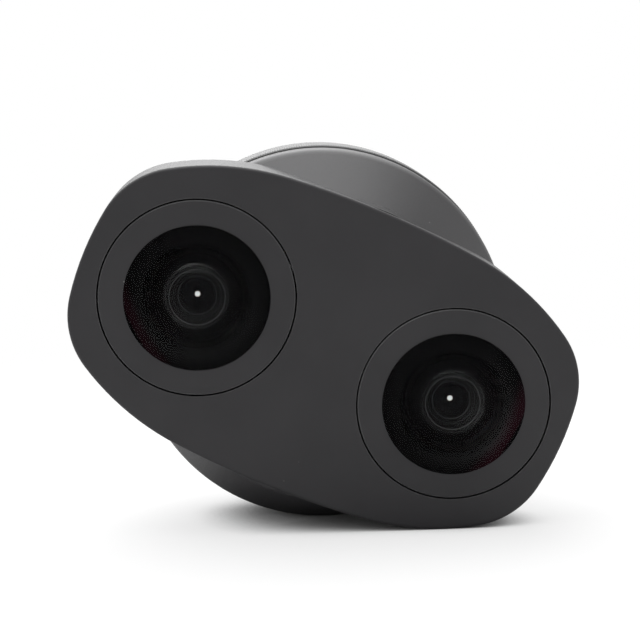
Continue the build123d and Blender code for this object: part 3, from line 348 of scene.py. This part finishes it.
def quiet_rim(tree, shader, place):
    """The coating is strongest near the rim of the dome, so the normal leans forward there and reflects less room."""
    geometry = tree.nodes.new("ShaderNodeNewGeometry")
    ahead = tree.nodes.new("ShaderNodeCombineXYZ")
    link(tree, math_node(tree, "MULTIPLY_ADD", geometry.outputs["Backfacing"], 2.0, -1.0), ahead.inputs["Y"])
    lean = tree.nodes.new("ShaderNodeMix")
    lean.data_type = "VECTOR"
    link(tree, ramp(tree, radius_from_glass(tree, place), *rim_coating, 0.0, rim_lean), lean.inputs[0])
    link(tree, geometry.outputs["Normal"], lean.inputs[4])
    link(tree, ahead.outputs["Vector"], lean.inputs[5])
    unit = tree.nodes.new("ShaderNodeVectorMath")
    unit.operation = "NORMALIZE"
    link(tree, lean.outputs[1], unit.inputs[0])
    link(tree, unit.outputs["Vector"], shader.inputs["Normal"])


def glass_material(name, body, tint, rim=False):
    """Polished glass with an antireflective coating, which leaves only a weak coloured reflection."""
    material, tree, shader, place = new_material(name)
    shader.inputs["Transmission Weight"].default_value = 1.0
    shader.inputs["IOR"].default_value = glass_index
    shader.inputs["Specular Tint"].default_value = (*tint, 1.0)
    haze = ramp(tree, noise(tree, place, 300.0, 3.0, 0.6), 0.62, 0.8, 0.0, 0.004)
    link(tree, haze, shader.inputs["Roughness"])
    smudge = ramp(tree, noise(tree, place, 90.0, 3.0, 0.6), 0.3, 0.7)
    link(tree, mix_colour(tree, smudge, body, tuple(part * 0.985 for part in body)), shader.inputs["Base Color"])
    if rim:
        quiet_rim(tree, shader, place)
    return material


materials = {
    # The shell's lighter rubbed edges are real wear, made stronger as a painted highlight along the plate's edges
    "shell": finish_material(
        "satin black shell paint", *satin_black, wear=(0.15, 0.15, 0.15), worn=0.65, **satin_paint),
    "ring_anodised": finish_material(
        "grey-black anodised ribs", (0.040, 0.040, 0.041), (0.050, 0.050, 0.051), (0.38, 0.46),
        grain=7000.0, depth=0.000006, level=0.44, wear=(0.2, 0.2, 0.2), worn=0.25, wear_width=0.0001),
    "black_anodised": finish_material(
        "matt black anodised", (0.010, 0.010, 0.011), (0.014, 0.014, 0.015), (0.5, 0.6), level=0.3,
        turned=0.00015, wear=(0.06, 0.06, 0.06), worn=0.2),
    "screw_steel": finish_material(
        "blackened screw steel", (0.16, 0.16, 0.165), (0.24, 0.24, 0.25), (0.28, 0.4), metal=1.0,
        wear=(0.5, 0.5, 0.5), worn=0.5, wear_width=0.00012),
    "ground_steel": finish_material(
        "ground pin steel", (0.55, 0.55, 0.56), (0.64, 0.64, 0.65), (0.16, 0.26), metal=1.0, turned=0.00008),
    "mount_chrome": finish_material(
        "satin chromed mount", (0.60, 0.60, 0.605), (0.70, 0.70, 0.71), (0.20, 0.28), metal=1.0,
        turned=0.00010, depth=0.000004, wear=(0.8, 0.78, 0.74), worn=0.5),
    "red_enamel": finish_material(
        "red index enamel", (0.50, 0.012, 0.010), (0.60, 0.02, 0.016), (0.12, 0.2), coat=0.4, depth=0.000003),
    "seal_rubber": finish_material(
        "mount seal rubber", (0.018, 0.018, 0.018), (0.03, 0.03, 0.03), (0.7, 0.85), level=0.3, dust=0.6),
    "black_polymer": finish_material(
        "black moulded polymer", (0.016, 0.016, 0.017), (0.024, 0.024, 0.025), (0.45, 0.6), level=0.4,
        depth=0.00002, wear=(0.07, 0.07, 0.07), worn=0.3),
    "gold_contact": finish_material(
        "gold plated contact", (0.80, 0.56, 0.20), (0.90, 0.66, 0.28), (0.12, 0.22), metal=1.0, depth=0.000003,
        wear=(0.95, 0.8, 0.5), worn=0.4, wear_width=0.0001),
    "board_laminate": finish_material(
        "green board laminate", (0.012, 0.075, 0.035), (0.016, 0.10, 0.05), (0.25, 0.4), coat=0.3),
    "sleeve_brass": finish_material(
        "machined cam brass", (0.42, 0.30, 0.11), (0.56, 0.42, 0.18), (0.24, 0.34), metal=1.0, turned=0.00014,
        wear=(0.8, 0.65, 0.35), worn=0.5),
    "blade_steel": finish_material(
        "blackened blade steel", (0.05, 0.05, 0.055), (0.08, 0.08, 0.085), (0.35, 0.45), metal=1.0, depth=0.000003,
        wear=(0.3, 0.3, 0.3), worn=0.3, wear_width=0.00006),
    "gear_polymer": finish_material(
        "acetal gear", (0.55, 0.53, 0.47), (0.62, 0.60, 0.54), (0.35, 0.5), depth=0.000008),
    "gear_brass": finish_material(
        "hobbed gear brass", (0.50, 0.36, 0.14), (0.62, 0.46, 0.2), (0.22, 0.32), metal=1.0,
        wear=(0.8, 0.66, 0.36), worn=0.6, wear_width=0.00008),
    "motor_case": finish_material(
        "drawn motor can", (0.38, 0.38, 0.39), (0.48, 0.48, 0.49), (0.25, 0.36), metal=1.0,
        wear=(0.7, 0.7, 0.7), worn=0.4),
    "coated_glass": glass_material("coated front glass", (0.88, 0.90, 0.90), (0.052, 0.052, 0.054), rim=True),
    "inner_glass": glass_material("coated inner glass", (0.90, 0.92, 0.92), (0.005, 0.006, 0.007)),
    "rear_glass": glass_material("coated rear glass", (0.88, 0.92, 0.92), (0.30, 0.22, 0.45)),
}
# Darker and duller than real paint: a flat black lining, and painted shade deep in the light bore and the glass cups
lining_and_painted_shade = finish_material(
    "flat black lining and painted bore shade", (0.0020, 0.0020, 0.0021), (0.0030, 0.0030, 0.0032), (0.75, 0.85), level=0.0)
ring_paint = finish_material("satin black ring paint", *satin_black, **satin_paint)
# Painted highlight: the front rings' bevel is painted lighter all round, where light catches it
painted_highlight_bevel = finish_material(
    "front ring bevel with painted highlight", (0.074, 0.074, 0.076), (0.086, 0.086, 0.088), (0.35, 0.45), level=0.4)
# Painted glint: the narrow chamfers of the glass rings are painted grey, where light catches their edges
painted_glint_chamfer = finish_material(
    "glass ring chamfer with painted glint", (0.048, 0.048, 0.050), (0.060, 0.060, 0.062), (0.5, 0.6), level=0.1)


def dress_nodes():
    """Gives each node of the frame the finish of its own slot. The chassis is lined black, for its light bore, darker
    than paint as painted shade there.
    """
    slots = {part["node"]: part["material_slot"] for part in frame["record"]["subparts"]}
    for name, node in frame["nodes"].items():
        material = lining_and_painted_shade if name.endswith("_chassis") else materials[slots[name]]
        for slot in node.material_slots:
            slot.material = material
        if not node.material_slots:
            node.data.materials.append(material)


def make_world():
    """White to camera, glossy and transmitted rays, and a plain pale room for the light on matt surfaces."""
    world = bpy.data.worlds.new("white_room")
    world.use_nodes = True
    tree = world.node_tree
    background = tree.nodes["Background"]
    seen = white_room_ray(tree, tree.nodes.new("ShaderNodeLightPath"))
    link(tree, ramp(tree, seen, 0.0, 1.0, room_level, 1.0), background.inputs["Strength"])
    background.inputs["Color"].default_value = (1.0, 1.0, 1.0, 1.0)
    bpy.context.scene.world = world


def make_lamp(name, reach, size, power):
    """A softbox aimed at the lens. reach is its place to the right, above and behind, as the camera sees it."""
    place = stage_right * reach[0] + ground_normal * reach[1] + stage_back * reach[2]
    data = bpy.data.lights.new(name, "AREA")
    data.shape = "RECTANGLE"
    data.size, data.size_y = size
    data.energy = power
    lamp = bpy.data.objects.new(name, data)
    turn = (lamp_aim - place).to_track_quat("-Z", "Y").to_matrix().to_4x4()
    lamp.matrix_world = Matrix.Translation(place) @ turn
    bpy.context.scene.collection.objects.link(lamp)


def floor_material():
    """Pale and lit by its own weak glow, which fades by occlusion where the part is near: a painted shadow, for the
    camera and for gloss and glass.
    """
    material = bpy.data.materials.new("pale floor")
    material.use_nodes = True
    tree = material.node_tree
    shader = tree.nodes["Principled BSDF"]
    shader.inputs["Roughness"].default_value = 0.9
    shader.inputs["Specular IOR Level"].default_value = 0.0
    path = tree.nodes.new("ShaderNodeLightPath")
    tone = ramp(tree, white_room_ray(tree, path), 0.0, 1.0, floor_tone, floor_tone * (1.0 - floor_glow))
    link(tree, tone, shader.inputs["Base Color"])
    open_air = []
    # painted shadow: the glow fades by ambient occlusion near the part
    for reach, begins, full in (contact_shadow, mirrored_shadow):
        near = tree.nodes.new("ShaderNodeAmbientOcclusion")
        near.samples = 8
        near.inputs["Distance"].default_value = reach
        open_air.append(ramp(tree, near.outputs["AO"], begins, full))
    indirect = math_node(tree, "MAXIMUM", path.outputs["Is Glossy Ray"], path.outputs["Is Transmission Ray"])
    mirrored = math_node(tree, "MULTIPLY", open_air[1], indirect)
    direct = math_node(tree, "MULTIPLY", open_air[0], path.outputs["Is Camera Ray"])
    glow = math_node(tree, "MAXIMUM", mirrored, direct)
    shader.inputs["Emission Color"].default_value = (1.0, 1.0, 1.0, 1.0)
    link(tree, math_node(tree, "MULTIPLY", glow, floor_glow), shader.inputs["Emission Strength"])
    length = tree.nodes.new("ShaderNodeVectorMath")
    length.operation = "LENGTH"
    link(tree, tree.nodes.new("ShaderNodeTexCoord").outputs["Object"], length.inputs[0])
    fade = ramp(tree, length.outputs["Value"], *floor_fade)
    back = tree.nodes.new("ShaderNodeNewGeometry").outputs["Backfacing"]
    clear = tree.nodes.new("ShaderNodeBsdfTransparent")
    mixed = tree.nodes.new("ShaderNodeMixShader")
    link(tree, math_node(tree, "MAXIMUM", fade, back), mixed.inputs[0])
    link(tree, shader.outputs[0], mixed.inputs[1])
    link(tree, clear.outputs[0], mixed.inputs[2])
    link(tree, mixed.outputs[0], tree.nodes["Material Output"].inputs["Surface"])
    return material


def make_floor():
    """A round piece of pale floor that fades out, seen only from above."""
    turn = ground_normal.to_track_quat("Z", "Y").to_matrix().to_4x4()
    mesh = bpy.data.meshes.new("pale_floor")
    shape = bmesh.new()
    bmesh.ops.create_circle(shape, cap_ends=True, segments=96, radius=floor_radius)
    shape.to_mesh(mesh)
    shape.free()
    mesh.materials.append(floor_material())
    floor = bpy.data.objects.new("pale_floor", mesh)
    floor.matrix_world = Matrix.Translation(ground_point - ground_normal * floor_sink) @ turn
    bpy.context.scene.collection.objects.link(floor)


def finish_piece(shape, name, body, node, slot, *finishes):
    """Turns a bmesh into a piece that rides on a body, and hides the node that it stands for."""
    mesh = bpy.data.meshes.new(name)
    shape.to_mesh(mesh)
    shape.free()
    for material in finishes or (materials[slot],):
        mesh.materials.append(material)
    piece = bpy.data.objects.new(name, mesh)
    bpy.context.scene.collection.objects.link(piece)
    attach(piece, body)
    if node:
        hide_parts(node)


def profile_line(shape, points):
    """A chain of edges through (radius, depth) points in the half plane of X."""
    corners = [shape.verts.new((radius, -depth, 0)) for radius, depth in points]
    return corners, [shape.edges.new(pair) for pair in zip(corners, corners[1:])]


def arc_points(apex, curve, start, end, steps):
    """(radius, depth) points on a surface that bulges forward, from one radius to another."""
    radii = [start + (end - start) * step / steps for step in range(steps + 1)]
    return [(radius, apex - curve + math.sqrt(curve**2 - radius**2)) for radius in radii]


def spun(points, steps, centre=(0.0, 0.0), closed=False):
    """A revolved piece about the forward axis at (x, z), with its normals outwards."""
    shape = bmesh.new()
    corners, edges = profile_line(shape, points)
    if closed:
        edges.append(shape.edges.new((corners[-1], corners[0])))
    bmesh.ops.spin(shape, geom=corners + edges, cent=(0, 0, 0), axis=(0, 1, 0), angle=2 * math.pi, steps=steps,
                   use_merge=True)
    bmesh.ops.remove_doubles(shape, verts=shape.verts, dist=1e-8)
    bmesh.ops.recalc_face_normals(shape, faces=shape.faces)
    bmesh.ops.translate(shape, verts=shape.verts, vec=(centre[0], 0, centre[1]))
    return shape


def smooth_by_angle(shape, degrees_sharp):
    for face in shape.faces:
        face.smooth = True
    for edge in shape.edges:
        edge.smooth = len(edge.link_faces) != 2 or edge.calc_face_angle() < math.radians(degrees_sharp)


def make_grip():
    """The focus ring with its real number of fine ribs: of each four columns of the spun ring, two are pressed in."""
    low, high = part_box("focus_ring")
    outer = high.x
    inner = 38.05 * mm
    front, rear = -low.y, -high.y
    rib_count, rib_depth, edge, step = 480, 0.16 * mm, 0.25 * mm, 0.1 * mm
    near_enough = 0.01 * mm
    rim = outer - step
    profile = [
        (inner, rear), (rim - edge, rear), (rim, rear + edge), (outer, rear + edge * 2),
        (outer, front - edge * 2), (rim, front - edge), (rim - edge, front), (inner, front),
    ]
    shape = spun(profile, rib_count * 4, closed=True)
    column = math.tau / (rib_count * 4)
    valley = outer - rib_depth
    for vert in shape.verts:
        radius = math.hypot(vert.co.x, vert.co.z)
        number = round(math.atan2(vert.co.z, vert.co.x) / column) % 4
        if radius > outer - near_enough and number in (0, 1):
            vert.co.x *= valley / radius
            vert.co.z *= valley / radius
    smooth_by_angle(shape, 35)
    finish_piece(shape, "ribbed_focus_grip", "focus_ring", "focus_ring", "ring_anodised")


def blacking_and_painted_glint_material(side):
    """Black lacquer on the ground edge of a front glass, with a painted reflection on one side: a weak self-lit wine
    red glow that stands for the coating's red reflection.
    """
    centre = sides[side][0]
    towards, begins, strength = painted_red_glints[side]
    material, tree, shader, place = new_material(f"{side} edge blacking and painted glint")
    shader.inputs["Specular IOR Level"].default_value = 0.0
    split = tree.nodes.new("ShaderNodeSeparateXYZ")
    link(tree, place, split.inputs[0])
    across = math_node(tree, "SUBTRACT", split.outputs["X"], centre)
    toward = math_node(
        tree, "ADD",
        math_node(tree, "MULTIPLY", across, math.cos(math.radians(towards)) / glass_radius),
        math_node(tree, "MULTIPLY", split.outputs["Z"], math.sin(math.radians(towards)) / glass_radius),
    )
    painted_glint = math_node(tree, "MULTIPLY", ramp(tree, toward, begins, 0.90), ramp(tree, toward, 0.93, 0.97, 1.0, 0.0))
    mirrored = tree.nodes.new("ShaderNodeLightPath").outputs["Is Reflection Ray"]        # inside the dome
    painted_glint = math_node(tree, "MULTIPLY", painted_glint, math_node(tree, "SUBTRACT", 1.0, mirrored))
    mottle = ramp(tree, noise(tree, place, 500.0, 3.0), 0.3, 0.7, 0.75, 1.0)
    painted_glint = math_node(tree, "MULTIPLY", painted_glint, mottle)
    # painted reflection: the wine red glint glows by itself and is lit by no lamp
    painted_wine_red = (strength, strength * 0.10, strength * 0.28)
    link(tree, mix_colour(tree, painted_glint, (0.0, 0.0, 0.0), painted_wine_red), shader.inputs["Emission Color"])
    shader.inputs["Emission Strength"].default_value = 1.0
    lacquer = ramp(tree, noise(tree, place, 800.0, 2.0), 0.3, 0.7)
    lacquer = mix_colour(tree, lacquer, (0.0040, 0.0040, 0.0042), (0.0055, 0.0055, 0.0058))
    link(tree, lacquer, shader.inputs["Base Color"])
    link(tree, ramp(tree, noise(tree, place, 2500.0, 2.0), 0.3, 0.7, 0.45, 0.6), shader.inputs["Roughness"])
    return material


def make_front_glass(side):
    """The domed meniscus. Its ground edge and rear rim are lacquered black, and carry a painted red reflection on one
    side.
    """
    centre, body = sides[side]
    back_edge = math.sqrt(glass_back_curve**2 - (glass_rear - glass_back_apex + glass_back_curve) ** 2)
    outside = arc_points(glass_apex, glass_curve, 0, glass_edge_radius, 26)
    inside = arc_points(glass_back_apex, glass_back_curve, back_edge, 0, 22)
    shape = spun(outside + [(glass_edge_radius, glass_rear)] + inside, 128, (centre, 0.0))
    for face in shape.faces:
        middle = face.calc_center_median()
        radius = math.hypot(middle.x - centre, middle.z)
        rear_rim = abs(face.normal.y) > 0.999 and abs(middle.y + glass_rear) < 0.02 * mm
        ground_edge = abs(face.normal.y) < 0.01 and radius > glass_edge_radius - 0.2 * mm
        face.material_index = 1 if rear_rim or ground_edge else 0
    smooth_by_angle(shape, 20)
    finish_piece(shape, f"{side}_coated_front_glass", body, f"{side}_front_lens", "coated_glass",
                 materials["coated_glass"], blacking_and_painted_glint_material(side))


def make_painted_light_glow(side):
    """A painted glow: a small self-lit white disc with an orange fringe ahead of the first prism, which stands for the
    white light from the open rear; it is no real part.
    """
    centre, body = sides[side]
    front, rear = painted_glow_depth, painted_glow_depth - 0.1 * mm
    material, tree, shader, place = new_material(f"{side} painted light glow")
    shader.inputs["Base Color"].default_value = (0.0, 0.0, 0.0, 1.0)
    shader.inputs["Specular IOR Level"].default_value = 0.0
    length = tree.nodes.new("ShaderNodeVectorMath")
    length.operation = "DISTANCE"
    link(tree, place, length.inputs[0])
    length.inputs[1].default_value = (centre, -front, 0.0)
    fringe = ramp(tree, length.outputs["Value"], painted_glow_radius * 0.86, painted_glow_radius * 0.98)
    # painted glow: self-lit white with an orange fringe
    link(tree, mix_colour(tree, fringe, (1.0, 0.99, 0.97), (0.22, 0.07, 0.02)), shader.inputs["Emission Color"])
    shader.inputs["Emission Strength"].default_value = 1.0
    shape = spun([(0.0, front), (painted_glow_radius, front), (painted_glow_radius, rear), (0.0, rear)], 48, (centre, 0.0))
    finish_piece(shape, f"{side}_painted_light_glow", body, None, "inner_glass", material)


def bowl(edge_radius, surface, radius):
    """Depth at a radius of a glass surface given by its edge's depth and its bulge forward."""
    edge_depth, bulge = surface
    curve = (edge_radius**2 + bulge**2) / (2 * abs(bulge))
    rise = math.sqrt(curve**2 - radius**2) - math.sqrt(curve**2 - edge_radius**2)
    return edge_depth + math.copysign(rise, bulge)


def lens_points(edge_radius, front, back, steps):
    radii = [edge_radius * step / steps for step in range(steps + 1)]
    return ([(radius, bowl(edge_radius, front, radius)) for radius in radii]
            + [(radius, bowl(edge_radius, back, radius)) for radius in reversed(radii)])


def make_inner_glasses(side):
    """The second and third glasses behind the front one, and the relay glass between the two prisms."""
    centre, body = sides[side]
    shape = spun(lens_points(second_glass_radius, second_glass_front, second_glass_back, 24), 128, (centre, 0.0))
    third = spun(lens_points(third_glass_radius, third_glass_front, third_glass_back, 16), 96, (centre, 0.0))
    mesh = bpy.data.meshes.new("third_glass")
    third.to_mesh(mesh)
    third.free()
    shape.from_mesh(mesh)
    bpy.data.meshes.remove(mesh)
    middle = math.copysign(sum(relay_span) / 2, centre)
    place = Matrix.Translation((middle, -fold_depth, 0)) @ Matrix.Rotation(math.radians(90), 4, "Y")
    bmesh.ops.create_cone(shape, cap_ends=True, segments=64, radius1=relay_radius, radius2=relay_radius,
                          depth=relay_span[1] - relay_span[0], matrix=place)
    smooth_by_angle(shape, 20)
    finish_piece(shape, f"{side}_polished_inner_glasses", body, f"{side}_inner_glasses", "inner_glass")


def make_front_ring(side):
    """The turned ring round a front glass. Its underside follows the dome and its rim has a fine bevel, painted lighter
    all round as a highlight.
    """
    centre, body = sides[side]
    wall = glass_edge_radius + front_ring_lap
    flat = front_ring_radius - front_ring_bevel
    shoulder = face_depth - front_ring_bevel
    underside = arc_points(glass_apex + front_ring_clearance, glass_curve + front_ring_clearance, wall, glass_radius, 6)
    profile = [(glass_radius, face_depth), (flat, face_depth), (front_ring_radius, shoulder),
               (front_ring_radius, glass_seat), (wall, glass_seat)] + underside[:-1]
    shape = spun(profile, 256, (centre, 0.0), closed=True)
    for face in shape.faces:
        middle = face.calc_center_median()
        bevelled = math.hypot(middle.x - centre, middle.z) > flat and -middle.y > shoulder
        face.material_index = 1 if bevelled else 0
    smooth_by_angle(shape, 20)
    finish_piece(shape, f"{side}_turned_front_ring", body, f"{side}_front_ring", "shell", ring_paint, painted_highlight_bevel)


def make_glass_ring(side, name, profile):
    """A black ring that holds a glass in the cup. Its narrow chamfers are painted grey, a painted glint where light
    catches them.
    """
    centre, body = sides[side]
    shape = spun(profile, 128, (centre, 0.0), closed=True)
    widest_chamfer = 0.24 * mm
    for face in shape.faces:
        slanted = 0.3 < abs(face.normal.y) < 0.95
        narrow = min(edge.calc_length() for edge in face.edges) < widest_chamfer
        face.material_index = 1 if slanted and narrow else 0
    smooth_by_angle(shape, 20)
    finish_piece(shape, f"{side}_{name}", body, None, "black_anodised", lining_and_painted_shade, painted_glint_chamfer)


def make_glass_rings(side):
    """The rings on the second and third glass, whose painted grey chamfers show as fine circles."""
    inner, outer = 6.45 * mm, second_glass_radius
    seat = bowl(outer, second_glass_front, inner) + 0.16 * mm
    rim = second_glass_front[0] + 0.16 * mm
    make_glass_ring(side, "second_glass_ring", [
        (inner, seat), (outer, rim), (outer, rim + 1.5 * mm), (inner + 0.9 * mm, seat + 0.6 * mm),
        (inner + 0.72 * mm, seat + 0.34 * mm), (inner + 0.16 * mm, seat + 0.34 * mm), (inner, seat + 0.2 * mm)])
    inner, outer, seat = 4.65 * mm, third_glass_radius, third_glass_front[0] + 0.04 * mm
    make_glass_ring(side, "third_glass_ring", [
        (inner, seat), (outer, seat), (outer, seat + 0.42 * mm), (outer - 0.08 * mm, seat + 0.5 * mm),
        (inner + 0.16 * mm, seat + 0.5 * mm), (inner, seat + 0.34 * mm)])


def make_mount_screws():
    """Four countersunk screws with a cross recess, flush in the rear face of the mount."""
    head, shank, length, lip = 1.88 * mm, 0.94 * mm, 3.6 * mm, 0.3 * mm
    arm, reach, depth, taper = 0.19 * mm, 1.15 * mm, 0.75 * mm, 0.55
    recess_turn, first_screw = math.radians(22), math.radians(45)
    steps = 48
    shape = spun([(head, 0.0), (shank, head - shank), (shank, length), (0.0, length)], steps)
    disc = bmesh.ops.create_circle(shape, cap_ends=True, segments=steps, radius=head,
                                   matrix=Matrix.Rotation(math.radians(-90), 4, "X"))
    cap = next(face for face in disc["verts"][0].link_faces if len(face.verts) == steps)
    bmesh.ops.inset_individual(shape, faces=[cap], thickness=lip)
    for normal in (Vector((1, 0, 0)), Vector((0, 0, 1))):
        for cut in (-reach, -arm, arm, reach):
            top = [face for face in shape.faces if abs(face.calc_center_median().y) < 1e-7
                   and face.calc_center_median().length < head - lip]
            parts = {part for face in top for part in (*face.verts, *face.edges)}
            bmesh.ops.bisect_plane(shape, geom=top + list(parts), dist=1e-8, plane_co=normal * cut, plane_no=normal)
    cross = []
    for face in shape.faces:
        middle = face.calc_center_median()
        near, far = sorted((abs(middle.x), abs(middle.z)))
        if abs(middle.y) < 1e-7 and near < arm and far < reach:
            cross.append(face)
    sunk = bmesh.ops.extrude_face_region(shape, geom=cross)["geom"]
    floor = [part for part in sunk if isinstance(part, bmesh.types.BMVert)]
    bmesh.ops.translate(shape, verts=floor, vec=(0, -depth, 0))
    bmesh.ops.scale(shape, verts=floor, vec=(taper, 1, taper))
    bmesh.ops.delete(shape, geom=[face for face in cross if face.is_valid], context="FACES_ONLY")
    bmesh.ops.remove_doubles(shape, verts=shape.verts, dist=1e-7)
    bmesh.ops.recalc_face_normals(shape, faces=shape.faces)
    bmesh.ops.rotate(shape, verts=shape.verts, cent=(0, 0, 0), matrix=Matrix.Rotation(recess_turn, 3, "Y"))
    bmesh.ops.translate(shape, verts=shape.verts, vec=(mount_screw_circle, 0, 0))
    bmesh.ops.rotate(shape, verts=shape.verts, cent=(0, 0, 0), matrix=Matrix.Rotation(first_screw, 3, "Y"))
    screw = shape.verts[:] + shape.edges[:] + shape.faces[:]
    for quarter in (1, 2, 3):
        copy = bmesh.ops.duplicate(shape, geom=screw)["geom"]
        corners = [part for part in copy if isinstance(part, bmesh.types.BMVert)]
        turn = Matrix.Rotation(quarter * math.pi / 2, 3, "Y")
        bmesh.ops.rotate(shape, verts=corners, cent=(0, 0, 0), matrix=turn)
    smooth_by_angle(shape, 25)
    finish_piece(shape, "cross_recessed_mount_screws", "barrel", "mount_screws", "screw_steel")


def make_ring_seal():
    """The thin light seal between the focus ring and the band, on the tube and clear of the turning ring."""
    inner, outer, rear, front = 38.0 * mm, 41.3 * mm, 23.08 * mm, 23.6 * mm
    fillet = 0.1 * mm
    shape = spun([(inner, rear), (outer - fillet, rear), (outer, rear + fillet), (outer, front), (inner, front)], 192,
                 closed=True)
    smooth_by_angle(shape, 50)
    finish_piece(shape, "ring_light_seal", "barrel", None, "seal_rubber")


def make_shoulder_lip():
    """Carries the shoulder's cone on to the plate's edge above and below the middle, where its end would show."""
    rear, front = 45.98 * mm, 47.1 * mm
    inner, rear_radius, front_radius = 31.4 * mm, 33.17 * mm, 32.55 * mm
    profile = [(inner, rear), (rear_radius, rear), (front_radius, front), (inner, front)]
    reach = math.radians(17)
    shape = bmesh.new()
    for up in (1, -1):
        corners, edges = profile_line(shape, profile)
        edges.append(shape.edges.new((corners[-1], corners[0])))
        first = shape.faces.new(corners)
        turned = Matrix.Rotation(-up * math.pi / 2 - reach, 4, "Y")
        bmesh.ops.transform(shape, matrix=turned, verts=corners)
        bmesh.ops.spin(shape, geom=corners + edges + [first], cent=(0, 0, 0), axis=(0, 1, 0), angle=reach * 2,
                       steps=24)
    bmesh.ops.remove_doubles(shape, verts=shape.verts, dist=1e-8)
    bmesh.ops.recalc_face_normals(shape, faces=shape.faces)
    smooth_by_angle(shape, 20)
    finish_piece(shape, "shoulder_lip", "barrel", None, "shell")


add_camera()
make_world()
for name, look in softboxes.items():
    make_lamp(name, *look)
make_floor()
dress_nodes()
make_grip()
make_mount_screws()
make_ring_seal()
make_shoulder_lip()
for side in sides:
    make_front_ring(side)
    make_front_glass(side)
    make_inner_glasses(side)
    make_painted_light_glow(side)
    make_glass_rings(side)

view = bpy.context.scene.view_settings
view.view_transform = "Standard"

bpy.context.view_layer.update()
